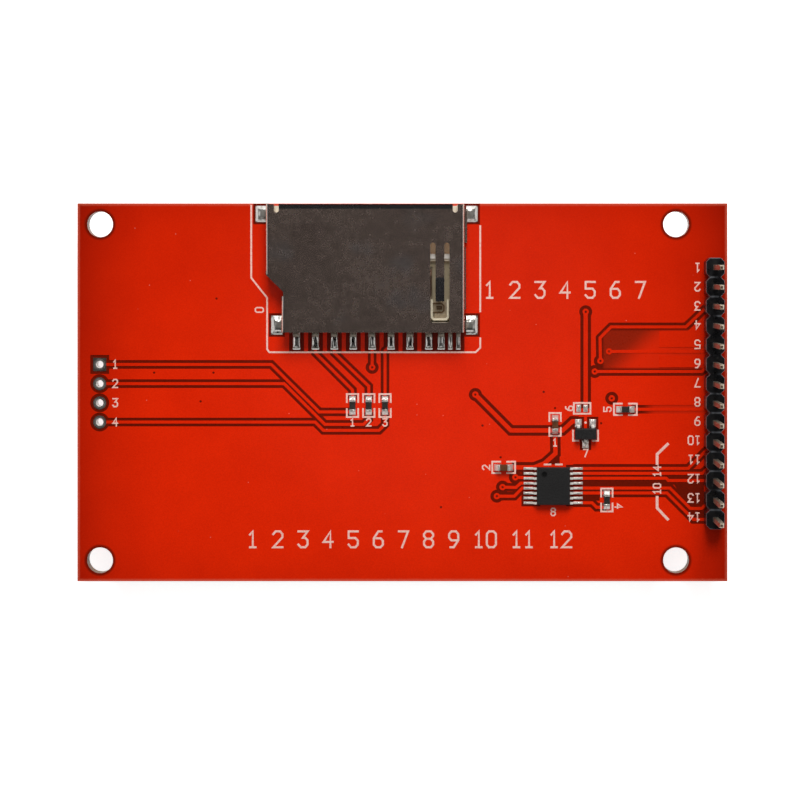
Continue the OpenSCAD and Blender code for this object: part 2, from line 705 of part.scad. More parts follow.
// One contact: tail on its land, step up, flat root on the floor to y_end, and a sprung arm
module contact(x, w, y_end, sprung) {
    z0 = z_top + contact_t / 2;
    z1 = z_top + floor_t + contact_t / 2;
    strip_yz(x, w) polygon(band(concat(
        [[tail_y, z0], [back_y - tail_step.x, z0], [back_y - tail_step.y, z1], [y_end, z1]],
        sprung ? [for (p = arm) [y_end, z1] + p] : []), contact_t / 2));
}

module socket_contacts() {
    plate_l = root_y - window_y - 0.4;
    color("#b59f7c") {
        for (x = contacts) contact(x, contact_w, root_y, true);
        difference() {
            union() {
                contact(last_contact_x, contact_w, root_y, false);
                translate([last_contact_x - plate_w / 2, root_y - plate_l, z_top + floor_t])
                    cube([plate_w, plate_l, contact_t]);
            }
            translate([last_contact_x, root_y - plate_l / 2, z_top])
                cylinder(r = plate_w / 7, h = socket_h);
        }
    }
}

// Card switch: two narrow strips; the inner one has an upright leaf beside the card
module socket_switches() {
    color("#b59f7c") {
        for (x = switch_xs) contact(x, switch_w, back_y + switch_l, false);
        translate([switch_xs[0] - switch_w / 2, back_y + switch_l - contact_t,
            z_top + floor_t + contact_t - eps]) cube([switch_w, contact_t, leaf_h]);
    }
}

// Solder that climbs round a flat tail or foot: a low mound on its land
module solder_mound(land) {
    base = land[1] - 2 * [land_edge, land_edge];
    translate([land[0].x, land[0].y, z_top]) hull() {
        plate(base.x, base.y, eps);
        translate([0, 0, mound_h]) plate(base.x * 0.45, base.y * 0.7, eps);
    }
}

module socket_solder() {
    color("#d9d6d0")
    difference() {
        for (s = concat(tab_lands, contact_lands, switch_lands)) solder_mound(s);
        socket_shell();
        socket_contacts();
        socket_switches();
        translate([0, 0, z_top - eps]) linear_extrude(socket_h)
            polygon(socket_outline(-2 * eps));
    }
}

// ---- pin header ------------------------------------------------------------------------------

// Housing: a row of eight-sided blocks moulded as one strip
module header_housing() {
    c = housing_chamfer;
    h = housing_w / 2;
    block_ys = [for (i = [0:header_pins_n - 1]) header_pin(i).y];
    right_side = [for (y = block_ys) each [[h - c, y + pitch / 2], [h, y + pitch / 2 - c],
        [h, y - pitch / 2 + c], [h - c, y - pitch / 2]]];
    left_side = [for (i = [len(right_side) - 1:-1:0]) [-right_side[i].x, right_side[i].y]];
    color("#1c1b1c")
    translate([header_x, 0, z_top]) linear_extrude(housing_h) difference() {
        polygon(concat(right_side, left_side));
        for (y = block_ys) rect([0, y], [pin_w, pin_w]);
    }
}

// A square pin with both ends tapered
module pin(z0, z1) {
    tip = pin_w * 0.28;
    outline = [[-pin_w / 2, z0 + pin_taper], [-tip, z0], [tip, z0], [pin_w / 2, z0 + pin_taper],
        [pin_w / 2, z1 - pin_taper], [tip, z1], [-tip, z1], [-pin_w / 2, z1 - pin_taper]];
    intersection() {
        strip_xz(0, pin_w) polygon(outline);
        strip_yz(0, pin_w) polygon(outline);
    }
}

module header_pins() {
    color("#d8cdb8")
    for (i = [0:header_pins_n - 1]) translate([header_pin(i).x, header_pin(i).y, 0])
        pin(z_board - pin_tail, z_top + housing_h + pin_top);
}

// Cones of solder under the board
module header_solder() {
    color("#d9d6d0")
    for (i = [0:header_pins_n - 1])
        translate([header_pin(i).x, header_pin(i).y, z_board - joint_h]) difference() {
            cylinder(r1 = pin_w * 0.65, r2 = header_pad_r, h = joint_h);
            translate([0, 0, joint_h / 2]) cube([pin_w, pin_w, 2 * joint_h], center = true);
        }
}

// ---- small parts -----------------------------------------------------------------------------

// Moulded package with sides that slope away from a parting line
module package(w, l, h) {
    hull() {
        plate(w - 2 * body_slope, l - 2 * body_slope, h);
        translate([0, 0, h * 0.45]) plate(w, l, h * 0.1);
    }
}

module controller_body() {
    color("#222224")
    translate([controller_at.x, controller_at.y, z_top + body_lift]) difference() {
        package(controller_w, controller_l, controller_h);
        translate([-controller_w / 2 + 1, controller_l / 2 - 0.9, controller_h - dimple[1]])
            cylinder(r = dimple[0], h = 1);
    }
}

// Gull-wing lead from a package side at x0 out to x1, in the X-Z plane
module lead(y, w, x0, x1, z_out) {
    foot = z_top + lead_t / 2;
    strip_xz(y, w) polygon(band(
        [[x0, z_out], [x0 + (x1 - x0) * 0.3, z_out], [x0 + (x1 - x0) * 0.45, foot], [x1, foot]],
        lead_t / 2));
}

module controller_leads() {
    z_out = z_top + body_lift + controller_h / 2;
    color("#cfcfcb")
    for (i = [0:controller_rows - 1], s = [0, 1])
        translate([controller_at.x, 0, 0]) mirror([s, 0, 0])
            lead(lead_y(i), lead_w, controller_w / 2, controller_w / 2 + lead_reach, z_out);
}

module regulator_body() {
    color("#1f1f21")
    translate([regulator_at.x, regulator_at.y, z_top + body_lift])
        package(regulator_w, regulator_l, regulator_h);
}

module regulator_leads() {
    z_out = z_top + body_lift + regulator_h / 2;
    color("#cfcfcb")
    for (p = regulator_feet)
        translate([regulator_at.x + p.x * regulator_step, regulator_at.y, 0])
            rotate([0, 0, 90 * p.y])
                lead(0, regulator_lead_w, regulator_l / 2, regulator_l / 2 + regulator_reach, z_out);
}

// Chip part: ceramic block with a metal cap on each end, long side along Y
module chip(at, along_y, h) {
    translate([at.x, at.y, z_top]) rotate([0, 0, along_y ? 0 : 90]) {
        translate([0, 0, chip_skin]) plate(chip_w - 2 * chip_skin, chip_l - 2 * chip_skin,
            h - 2 * chip_skin);
        for (s = [-1, 1]) translate([0, s * (chip_l - chip_cap) / 2, 0])
            plate(chip_w, chip_cap, h);
    }
}

module resistor(at, along_y) color("#3c3a38") chip(at, along_y, resistor_h);
module capacitor(at, along_y) color("#5a3320") chip(at, along_y, capacitor_h);
module resistor_1() resistor(bank(0), true);
module resistor_2() resistor(bank(1), true);
module resistor_3() resistor(bank(2), true);
module resistor_4() resistor(resistor_4_at, true);
module resistor_5() resistor(resistor_5_at, false);
module capacitor_1() capacitor(capacitor_1_at, true);
module capacitor_2() capacitor(capacitor_2_at, false);

// Wedge of solder at the end of a lead, which points along +X and ends at x
module toe_wedge(x, w) strip_xz(0, w)
    polygon([[x, z_top], [x, z_top + lead_t], [x + toe.x / 2, z_top + lead_t / 2],
        [x + toe.x, z_top]]);

// Solder at the ends of the chip parts and of the leads
module chip_solder() {
    color("#d9d6d0") {
        difference() {
            for (s = concat(bank_lands, other_chip_lands)) solder_mound(s);
            for (at = [bank(0), bank(1), bank(2), resistor_4_at, capacitor_1_at])
                chip(at, true, 1);
            for (at = [resistor_5_at, capacitor_2_at]) chip(at, false, 1);
        }
        for (i = [0:controller_rows - 1], s = [0, 1])
            translate([controller_at.x, lead_y(i), 0]) mirror([s, 0, 0])
                toe_wedge(controller_w / 2 + lead_reach, lead_w);
        for (p = regulator_feet)
            translate([regulator_at.x + p.x * regulator_step, regulator_at.y, 0])
                rotate([0, 0, 90 * p.y])
                    toe_wedge(regulator_l / 2 + regulator_reach, regulator_lead_w);
    }
}

// Two rounded drops of solder, side by side
module jumper_solder() {
    color("#d9d6d0")
    for (s = jumper_lands) translate([s[0].x, s[0].y, z_top]) intersection() {
        plate(s[1].x - 2 * land_edge, s[1].y - 2 * land_edge, mound_h);
        translate([0, 0, -mound_h]) rotate([90, 0, 0])
            cylinder(r = s[1].x * 0.85, h = s[1].y, center = true);
    }
}

// ---- display panel ---------------------------------------------------------------------------

// A sheet of the panel, centred on it
module panel_sheet(w, l, z, t) translate([panel_x, 0, z]) plate(w, l, t);

module touch_film() {
    color("#20242a") panel_sheet(touch_w, touch_l, 0, film_t);
}

module touch_spacer() {
    color("#303236") difference() {
        panel_sheet(touch_w, touch_l, film_t, spacer_t);
        panel_sheet(touch_w - 2 * touch_ring, touch_l - 2 * touch_ring, film_t - eps, 1);
        translate([panel_end - touch_inset - touch_ring - eps, touch_flex_y - touch_flex_w / 2,
            film_t - eps]) cube([touch_ring + 1, touch_flex_w, 1]);
    }
}

module touch_glass() {
    color("#2a3034") panel_sheet(touch_w, touch_l, z_touch_glass, touch_glass_t);
}

module panel_gasket() {
    color("#1b1b1b") difference() {
        panel_sheet(touch_w, touch_l, z_gasket, gasket_t);
        translate([filter_x, 0, z_gasket - eps])
            plate(filter_w - 2 * ring_w, glass_l - 2 * ring_w, 1);
        translate([filter_x + filter_w / 2 + glass_clear, -glass_l / 2, z_gasket - eps])
            cube([ledge_w - glass_clear, glass_l, 1]);
    }
}

module front_polariser() {
    inset = 2 * (ring_w + film_clear);
    color("#15171a") translate([filter_x, 0, z_filter - polariser_t])
        plate(filter_w - inset, glass_l - inset, polariser_t);
}

module filter_glass() {
    color("#30363a") translate([filter_x, 0, z_filter]) plate(filter_w, glass_l, glass_t);
}

module array_glass() {
    color("#3a4044") panel_sheet(glass_w, glass_l, z_array, glass_t);
}

// Driver on the ledge of the array glass, beside the filter glass
module driver_chip() {
    color("#404448") translate([filter_x + filter_w / 2 + driver.x, 0, z_array - driver.z])
        plate(driver.x, driver.y, driver.z);
}

// A sheet in the frame's inner room
module film_sheet(z, t) panel_sheet(film_w - 2 * film_clear, film_l - 2 * film_clear, z, t);

module rear_polariser() {
    color("#15171a") film_sheet(z_rear, polariser_t);
}

module prism_film() {
    color("#c8ccd0") film_sheet(z_prism, sheet_t);
}

module diffuser_film() {
    color("#e8e8e6") film_sheet(z_diffuser, sheet_t);
}

module light_guide() {
    color("#dfe6ea") translate([guide_x, 0, z_guide])
        plate(guide_w - 2 * film_clear, film_l - 2 * film_clear, guide_t);
}

module reflector() {
    color("#f4f4f2") film_sheet(z_reflector, sheet_t);
}

// Side-lit emitters between the light guide's edge and the frame
module backlight_leds() {
    color("#f0e6b0") for (i = [-1.5:1:1.5])
        translate([guide_x + guide_w / 2 + led.x / 2, i * film_l / 4.4, z_guide])
            plate(led.x, led.y, guide_t - flex_t);
}

module led_strip() {
    color("#c08a30")
        translate([guide_x + guide_w / 2 + led_strip_w / 2, 0, z_reflector - flex_t])
            plate(led_strip_w, film_l * 0.95, flex_t);
}

// White moulded frame: seat for the glass, room for the films, closed back
module backlight_frame() {
    color("#f2f1ec") difference() {
        panel_sheet(panel_w, panel_l, z_filter, z_tape - z_filter);
        panel_sheet(panel_w - 2 * frame_rim, panel_l - 2 * frame_rim, z_filter - eps,
            2 * glass_t + eps);
        panel_sheet(film_w, film_l, z_rear - eps, z_frame_back - z_rear + eps);
        translate([panel_end - frame_rim - eps, -flex_w / 2 - flex_gap, z_filter - eps])
            cube([frame_rim + 1, flex_w + 2 * flex_gap, glass_t + flex_t + eps]);
    }
}

// A flexible circuit that leaves at height z, turns back past x_turn and ends flat under the board
module folded_flex(y, w, t, z, x_start, x_turn, x_end) {
    z0 = z + t / 2;
    z1 = z_board - t / 2;
    bend = arc([x_turn, (z0 + z1) / 2], (z1 - z0) / 2, -90, 90, 16);
    strip_xz(y, w) polygon(band(concat([[x_start, z0]], bend, [[x_end, z1]]), t / 2));
}

module display_flex() {
    color("#c07820")
    folded_flex(0, flex_w, flex_t, z_array - flex_t, panel_end - frame_rim - glass_clear - flex_grip,
        flex_turn, display_flex_end);
}

module touch_flex() {
    color("#c07820")
    folded_flex(touch_flex_y, touch_flex_w, spacer_t, film_t,
        panel_end - touch_inset - touch_ring, flex_turn, touch_flex_end);
}

// Solder joints along the end of a flexible circuit of thickness t
module flex_joints(x, y, n, step, t) {
    z = z_board;
    for (i = [0:n - 1]) strip_xz(y + (i - (n - 1) / 2) * step, joint[0])
        polygon([[x, z], [x - joint[1], z], [x - joint[1] * 0.6, z - joint[2]],
            [x, z - t - joint[2]], [x + joint[1], z - t - joint[2] / 2],
            [x + joint[1] * 1.2, z - t], [x, z - t]]);
}

module flex_solder() {
    color("#d9d6d0") {
        flex_joints(display_flex_end, 0, flex_joints_n, flex_w * 0.88 / (flex_joints_n - 1), flex_t);
        flex_joints(touch_flex_end, touch_flex_y, touch_joints_n,
            touch_flex_w * 0.75 / (touch_joints_n - 1), spacer_t);
    }
}

// Foam tape: two long strips and one across the end away from the header
module mounting_tape() {
    across_x = panel_x - panel_w / 2 + tape_edge.x + tape_w / 2;
    strip_y = panel_l / 2 - tape_edge.y - tape_w / 2;
    color("#e6e6e0") {
        for (side = [-1, 1]) translate([panel_x - tape_edge.x / 2, side * strip_y, z_tape])
            plate(panel_w - 2 * tape_edge.x, tape_w, tape_t);
        translate([across_x, 0, z_tape]) plate(tape_w, 2 * strip_y - tape_w - 1, tape_t);
    }
}

board();
top_layer();
pads();
silk_print();
socket_shell();
socket_base();
socket_contacts();
socket_switches();
socket_solder();
header_housing();
header_pins();
header_solder();
controller_body();
controller_leads();
regulator_body();
regulator_leads();
resistor_1();
resistor_2();
resistor_3();
resistor_4();
resistor_5();
capacitor_1();
capacitor_2();
chip_solder();
jumper_solder();
touch_film();
touch_spacer();
touch_glass();
panel_gasket();
front_polariser();
filter_glass();
array_glass();
driver_chip();
rear_polariser();
prism_film();
diffuser_film();
light_guide();
reflector();
backlight_leds();
led_strip();
backlight_frame();
display_flex();
touch_flex();
flex_solder();
mounting_tape();
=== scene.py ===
# %% [markdown]
# # A small colour display module, component side up
#
# A red circuit board carries a card socket, a row of pins and a few small parts on the side that
# we see, and a display panel on the side that it lies on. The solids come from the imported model,
# in metres, with the middle of the footprint at the origin and the front of the display on the
# floor. This lesson dresses them: it gives every surface a finish, and puts softer, more worked
# shapes over the few solids that need them.

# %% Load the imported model
import json
import math
import random
import bpy
import bmesh
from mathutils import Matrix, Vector


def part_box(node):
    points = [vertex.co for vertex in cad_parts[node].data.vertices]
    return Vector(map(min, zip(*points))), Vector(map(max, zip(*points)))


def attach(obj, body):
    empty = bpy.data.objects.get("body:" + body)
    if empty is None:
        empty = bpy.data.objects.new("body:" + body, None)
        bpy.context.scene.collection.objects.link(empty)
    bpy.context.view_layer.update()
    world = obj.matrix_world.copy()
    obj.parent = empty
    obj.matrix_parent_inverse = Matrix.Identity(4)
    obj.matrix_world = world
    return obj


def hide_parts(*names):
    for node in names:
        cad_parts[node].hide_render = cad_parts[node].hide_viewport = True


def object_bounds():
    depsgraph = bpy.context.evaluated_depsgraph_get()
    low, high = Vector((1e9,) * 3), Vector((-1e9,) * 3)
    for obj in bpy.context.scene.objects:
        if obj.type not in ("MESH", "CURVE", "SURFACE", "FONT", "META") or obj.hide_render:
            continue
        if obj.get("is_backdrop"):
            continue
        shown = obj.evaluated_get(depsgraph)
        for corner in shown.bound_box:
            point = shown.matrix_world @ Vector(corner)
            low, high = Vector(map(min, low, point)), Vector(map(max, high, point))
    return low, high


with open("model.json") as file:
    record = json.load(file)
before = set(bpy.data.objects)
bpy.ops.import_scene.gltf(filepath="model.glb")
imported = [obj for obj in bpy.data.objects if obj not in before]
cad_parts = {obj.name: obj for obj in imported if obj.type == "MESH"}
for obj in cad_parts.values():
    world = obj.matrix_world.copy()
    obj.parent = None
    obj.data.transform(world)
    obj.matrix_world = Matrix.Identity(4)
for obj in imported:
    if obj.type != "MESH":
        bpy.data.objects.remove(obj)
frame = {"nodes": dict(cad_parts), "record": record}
cad_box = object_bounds()
nodes = frame["nodes"]
MM = 0.001
print(len(nodes), "solids, size in mm:", [round(s / MM, 2) for s in cad_box[1] - cad_box[0]])

# %% [markdown]
# ## Where things are
#
# Places could be typed in as numbers, but they would go out of step with the model. So they are
# read from the solids: the box of a whole node, or of each separate lump in it, such as a solder
# land. A lump is found by walking from vertex to vertex along the edges.

# %% Read places from the solids
board_lo, board_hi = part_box("board")
top_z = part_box("top_layer")[1].z
print("component side is at", round(top_z / MM, 3), "mm")


def lumps(node):
    """The low and high corners of each separate lump in a node, in metres."""
    mesh = bmesh.new()
    mesh.from_mesh(nodes[node].data)
    bmesh.ops.remove_doubles(mesh, verts=mesh.verts, dist=1e-6)
    left, boxes = set(mesh.verts), []
    while left:
        todo, found = [left.pop()], []
        while todo:
            v = todo.pop()
            found.append(v.co.copy())
            near = {e.other_vert(v) for e in v.link_edges} & left
            left -= near
            todo += near
        boxes.append((Vector(map(min, *found)), Vector(map(max, *found))))
    mesh.free()
    return sorted(boxes, key=lambda b: (round(b[0].x, 5), round(b[0].y, 5)))


def middle(box):
    return (box[0] + box[1]) / 2


pins = sorted(lumps("header_pins"), key=lambda b: -b[0].y)
print(len(pins), "pins, row at X =", round(middle(pins[0]).x / MM, 2), "mm")

# %% [markdown]
# ## The camera
#
# The module is seen from straight above, from about 25 cm, so near things lean outwards a little:
# the tall pins at the right lean away from the middle. A tilted camera would also put the module
# in its place in the frame, but it would make the board's sides converge. So the camera looks
# straight down from a point off the board's middle, and the lens is shifted to bring the board in.

# %% Camera over the board
def placed(name, data):
    """An object that shows the data, put in the scene."""
    made = bpy.data.objects.new(name, data)
    bpy.context.scene.collection.objects.link(made)
    return made


sensor_mm = 36
camera_mm = Vector((8, 16, 250))
seen_width_mm = 105.848
seen_middle_mm = (-0.31754, -1.01879)
camera_data = bpy.data.cameras.new("camera")
camera = placed("camera", camera_data)
camera.location = camera_mm * MM + Vector((0, 0, top_z))
camera_data.sensor_width = sensor_mm
camera_data.lens = sensor_mm * camera_mm.z / seen_width_mm
camera_data.shift_x = (seen_middle_mm[0] - camera_mm.x) / seen_width_mm
camera_data.shift_y = (seen_middle_mm[1] - camera_mm.y) / seen_width_mm
camera_data.clip_start, camera_data.clip_end = 0.01, 10
bpy.context.scene.camera = camera
bpy.context.scene.view_settings.view_transform = "Standard"
print("lens", round(camera_data.lens, 1), "mm")

# %% [markdown]
# ## Light
#
# The module lies on white in soft light. A white world gives even light from all round, and a
# broad lamp beyond the socket's side throws the shadows the other way, about as long as things
# are tall. A second lamp hangs near the board, so the middle is a little brighter than the ends.
# Together they light a level surface so that its colour renders about as it is written.
#
# A broad lamp would show in every slope of solder as a large white patch. So the first two lamps
# are hidden from reflections, and a third, small and weak, stands where the broad one does and
# lights nothing else: it makes the glints.

# %% Helpers for nodes
def put(socket, value):
    """Types a number or a colour into a socket, or links an output to it."""
    if isinstance(value, (int, float)):
        socket.default_value = value
    elif isinstance(value, tuple):
        socket.default_value = (*value, 1)
    elif value is not None:
        socket.id_data.links.new(getattr(value, "output", value), socket)


def node(tree, kind, **inputs):
    """A new node, its inputs named with _ for spaces."""
    made = tree.nodes.new("ShaderNode" + kind)
    for label, value in inputs.items():
        put(made.inputs[label.replace("_", " ")], value)
    return made


# %% World
def by_ray(tree, on_things, when_seen, output):
    """One shader for the light that falls on things, another for what is seen or mirrored."""
    paths = node(tree, "LightPath")
    seen = paths.outputs["Is Camera Ray"]
    pick = node(tree, "MixShader")
    for label in ("Is Glossy Ray", "Is Transmission Ray"):
        either = node(tree, "Math")
        either.operation = "MAXIMUM"
        put(either.inputs[0], seen)
        put(either.inputs[1], paths.outputs[label])
        seen = either.outputs[0]
    for socket, value in zip(pick.inputs, (seen, on_things.outputs[0], when_seen.outputs[0])):
        put(socket, value)
    put(output.inputs["Surface"], pick.outputs[0])


world = bpy.data.worlds.new("soft_studio")
bpy.context.scene.world = world
world.use_nodes = True
world.cycles.sampling_method = "NONE"
sky = world.node_tree
sky.nodes.clear()
by_ray(sky, node(sky, "Background", Color=(1.0, 0.985, 0.965), Strength=0.16),
       node(sky, "Background", Color=(1.0, 1.0, 1.0)), node(sky, "OutputWorld"))
print("world ready")


# %% Lamps
def lamp(name, place, size, watts, colour):
    """A round soft lamp that faces the middle of the board and isn't seen itself."""
    data = bpy.data.lights.new(name, "AREA")
    data.shape = "DISK"
    data.size, data.energy, data.color = size, watts, colour
    made = placed(name, data)
    made.location = place
    made.rotation_mode = "QUATERNION"
    made.rotation_quaternion = (-Vector(place)).to_track_quat("-Z", "Y")
    made.visible_camera = False
    return made


key_place, key_colour = (0.03, 0.385, 0.355), (1.0, 0.975, 0.94)
key_lamp = lamp("key_lamp", key_place, 0.26, 2.64, key_colour)
near_lamp = lamp("near_lamp", (0.002, 0.004, 0.098), 0.07, 0.016, (1.0, 0.985, 0.96))
glint_lamp = lamp("glint_lamp", key_place, 0.09, 0.8, key_colour)
key_lamp.visible_glossy = near_lamp.visible_glossy = False
glint_lamp.visible_diffuse = False
print("lamps at", [tuple(round(v / MM) for v in made.location)
                   for made in (key_lamp, near_lamp, glint_lamp)], "mm")

# %% [markdown]
# ## Starting a finish
#
# Every finish begins as a Principled shader whose plain numbers are set on its own sockets. Later,
# values that change over the surface are linked to some of them. One small class does both.


# %% A helper for finishes
class Finish:
    """A material with a Principled shader; gloss is the shader's specular level."""

    def __init__(self, name, metal=0.0, gloss=0.5, **fixed):
        self.material = bpy.data.materials.new(name)
        self.material.use_nodes = True
        self.tree = self.material.node_tree
        self.shader = self.tree.nodes["Principled BSDF"]
        self.set(Metallic=metal, Specular_IOR_Level=gloss, **fixed)

    def set(self, **sockets):
        """Sets the shader's sockets, named with _ for spaces."""
        for label, value in sockets.items():
            put(self.shader.inputs[label.replace("_", " ")], value)


# %% [markdown]
# ## Floor and dark card
#
# The floor is white paper that keeps the module's shadow, with a glow of its own that only the
# eye sees, so that it stays white. Flat gloss facing a camera mirrors whatever is above it. A
# white ceiling would put a grey veil on the red mask and on the steel, so a copy stand has dark
# cloth round the lens. Here a dark card does that: only reflections see it, so it takes no light
# from the module.

# %% Floor and card
def sheet_of(name, y, z, half, finish):
    """A level square sheet of the studio."""
    mesh = bpy.data.meshes.new(name)
    corners = [(-half, y - half, z), (half, y - half, z), (half, y + half, z), (-half, y + half, z)]
    mesh.from_pydata(corners, [], [(0, 1, 2, 3)])
    mesh.materials.append(finish.material)
    made = placed(name, mesh)
    made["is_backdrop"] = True
    return made


white_paper = Finish("white_paper", Base_Color=(0.9, 0.9, 0.9), Roughness=0.9, gloss=0.1)
paper = white_paper.tree
with_glow = node(paper, "AddShader")
put(with_glow.inputs[0], white_paper.shader.outputs[0])
put(with_glow.inputs[1], node(paper, "Emission", Strength=0.8).outputs[0])
by_ray(paper, white_paper.shader, with_glow, paper.nodes["Material Output"])
sheet_of("floor", 0, -0.0002, 1.5, white_paper)

dark_cloth = Finish("dark_cloth", Base_Color=(0.012, 0.012, 0.012), Roughness=1.0, gloss=0.0)
card = sheet_of("dark_card", -0.06, 0.34, 0.42, dark_cloth)
for ray in ("camera", "diffuse", "transmission", "shadow"):
    setattr(card, "visible_" + ray, False)
print("floor and card placed")

# %% [markdown]
# ## Values that vary
#
# What a finish does at a point is worked out with nodes for arithmetic. Written out one by one,
# a simple sum takes many lines. So an output is wrapped in a class that knows plus, minus and
# times: a formula in the script becomes the same formula in nodes.


# %% Arithmetic with nodes
def maths(operation, a, b=None):
    """One step of arithmetic; a or b is a value that varies."""
    made = node((b if isinstance(a, (int, float)) else a).tree, "Math")
    made.operation = operation
    put(made.inputs[0], a)
    put(made.inputs[1], b)
    return Varying(made)


def step(operation):
    """A method that does one step of arithmetic."""
    return lambda a, b=None: maths(operation, a, b)


class Varying:
    """An output of a node that takes part in sums like a number."""

    __add__, __sub__, __mul__ = step("ADD"), step("SUBTRACT"), step("MULTIPLY")
    __truediv__, __pow__, __abs__ = step("DIVIDE"), step("POWER"), step("ABSOLUTE")

    def __init__(self, made, label=0):
        self.tree, self.output = made.id_data, made.outputs[label]

    def __rsub__(self, other):
        return maths("SUBTRACT", other, self)

    def clamped(self):
        """The same value, held between 0 and 1."""
        self.output.node.use_clamp = True
        return self


# %% Steps and bands
def ramp(value, low, high):
    """0 below low, 1 above high, and a smooth step between them."""
    made = node(value.tree, "MapRange", Value=value, From_Min=low, From_Max=high)
    made.interpolation_type = "SMOOTHSTEP"
    return Varying(made, "Result")


def below(value, low, high):
    """1 below low, 0 above high."""
    return 1.0 - ramp(value, low, high)


def within(value, start, full, fade, end):
    """1 from full to fade, falling to 0 at start and at end."""
    return ramp(value, start, full) * below(value, fade, end)


# %% [markdown]
# ## Small surface effects, shared as node groups
#
# Real surfaces are never one flat colour. Most of the small differences here are of a few kinds:
# a fine grain, a cloudy unevenness, sparse specks of dust, and fine scratches. Each is a group of
# nodes, built once, with named inputs. A group only puts out values that vary over the surface,
# and each material decides what they do to its colour, roughness or bump.
#
# All of them start from the object's own coordinates in metres, so a scale of 4000 means features
# of a quarter of a millimetre on every part.

# %% Start a node group
def new_group(name, output, **inputs):
    """A group with number inputs; gives the group, its inputs and the socket of its output."""
    group = bpy.data.node_groups.new(name, "ShaderNodeTree")
    for label, value in inputs.items():
        socket = group.interface.new_socket(label, in_out="INPUT", socket_type="NodeSocketFloat")
        socket.default_value = value
    group.interface.new_socket(output, in_out="OUTPUT", socket_type="NodeSocketFloat")
    start, end = group.nodes.new("NodeGroupInput"), group.nodes.new("NodeGroupOutput")
    return group, [Varying(start, label) for label in inputs], end.inputs[0]


def coordinates(tree, kind="Object"):
    """The place of the point: in metres, or from 0 to 1 across the piece if Generated."""
    return Varying(node(tree, "TexCoord"), kind)


def split(vector):
    """X, Y and Z of a vector."""
    parts = node(vector.tree, "SeparateXYZ", Vector=vector)
    return [Varying(parts, axis) for axis in "XYZ"]


# %% Grain, which is also used for clouds
grain, (scale, detail), grain_out = new_group("grain", "Value", Scale=4000, Detail=3)
noise = node(grain, "TexNoise", Vector=coordinates(grain), Scale=scale, Detail=detail)
put(grain_out, Varying(noise, "Fac"))

# %% Specks of dust
specks, (scale, share), specks_out = new_group("specks", "Mask", Scale=1200, Share=0.1)
cells = node(specks, "TexVoronoi", Vector=coordinates(specks), Scale=scale)
parts = node(specks, "SeparateColor", Color=Varying(cells, "Color"))
chosen = maths("LESS_THAN", Varying(parts, "Red"), share)
put(specks_out, chosen * below(Varying(cells, "Distance"), 0.12, 0.26))

# %% Fine scratches, a little slanting
scratches, (length, width, share), scratches_out = new_group(
    "scratches", "Mask", Length=90, Width=2600, Share=0.1)
x, y = split(coordinates(scratches))[:2]
drawn_out = node(scratches, "CombineXYZ", X=(x * 0.94 + y * 0.34) * width,
                 Y=(y * 0.94 - x * 0.34) * length)
noise = node(scratches, "TexNoise", Vector=Varying(drawn_out), Scale=1.0, Detail=1.5)
put(scratches_out, ((Varying(noise, "Fac") - (0.82 - share)) * 14.0).clamped())
print("groups:", [g.name for g in bpy.data.node_groups])


# %% Helpers that use them in a finish
def effect(finish, group, **values):
    """A shared effect placed in a finish, with its own values."""
    made = finish.tree.nodes.new("ShaderNodeGroup")
    made.node_tree = group
    for label, value in values.items():
        made.inputs[label].default_value = value
    return Varying(made)


def grains(finish, *kinds):
    """One grain for each pair of scale and detail."""
    return [effect(finish, grain, Scale=scale, Detail=detail) for scale, detail in kinds]


def between(value, low, high):
    """Spreads a value of about 0.3 to 0.7 over the range from low to high."""
    return Varying(node(value.tree, "MapRange", Value=value, From_Min=0.3, From_Max=0.7,
                        To_Min=low, To_Max=high), "Result")


def blend(factor, a, b):
    """A colour between a and b, each of them plain or varying."""
    made = node(factor.tree, "Mix")
    made.data_type = "RGBA"
    for socket, value in zip((made.inputs[0], made.inputs[6], made.inputs[7]), (factor, a, b)):
        put(socket, value)
    return Varying(made, 2)


def tone(value, dark, light):
    """A colour that wanders from dark to light with a grain."""
    return blend(between(value, 0.0, 1.0), dark, light)


def bumped(finish, height, depth_mm, strength):
    """Lets a height raise the surface by up to depth_mm."""
    made = node(finish.tree, "Bump", Strength=strength, Distance=depth_mm * MM, Height=height)
    finish.set(Normal=Varying(made, "Normal"))


def look(finish, colour, rough=None, bump=None, **others):
    """Sets the colour, a roughness (value, low, high) and a bump (height, depth_mm, strength)."""
    finish.set(Base_Color=colour, **others)
    if rough:
        finish.set(Roughness=between(*rough))
    if bump:
        bumped(finish, *bump)


def place_on(finish, wanted):
    """The point's x, y or z in metres, and u, the Z of the surface's direction."""
    facing = split(Varying(node(finish.tree, "NewGeometry"), "True Normal"))
    found = dict(zip("xyzu", (*split(coordinates(finish.tree)), facing[2])))
    return [found[letter] for letter in wanted]


def distance(a, b):
    """How far the point is from a line that it is a and b away from along two axes."""
    return maths("SQRT", a * a + b * b)


def dress(finish, *names):
    """Gives CAD nodes their finish."""
    for name in names:
        mesh = nodes[name].data
        mesh.materials.clear()
        mesh.materials.append(finish.material)


# %% A whole finish from grains
def grained(name, kind, dark, light, rough=None, bump=None, surface=None, **fixed):
    """Colour follows one grain; roughness and bump follow it too, or a second one."""
    made = Finish(name, **fixed)
    in_colour, in_surface = grains(made, kind, surface or kind)
    look(made, tone(in_colour, dark, light), rough and (in_surface, *rough),
         bump and (in_surface, *bump))
    return made


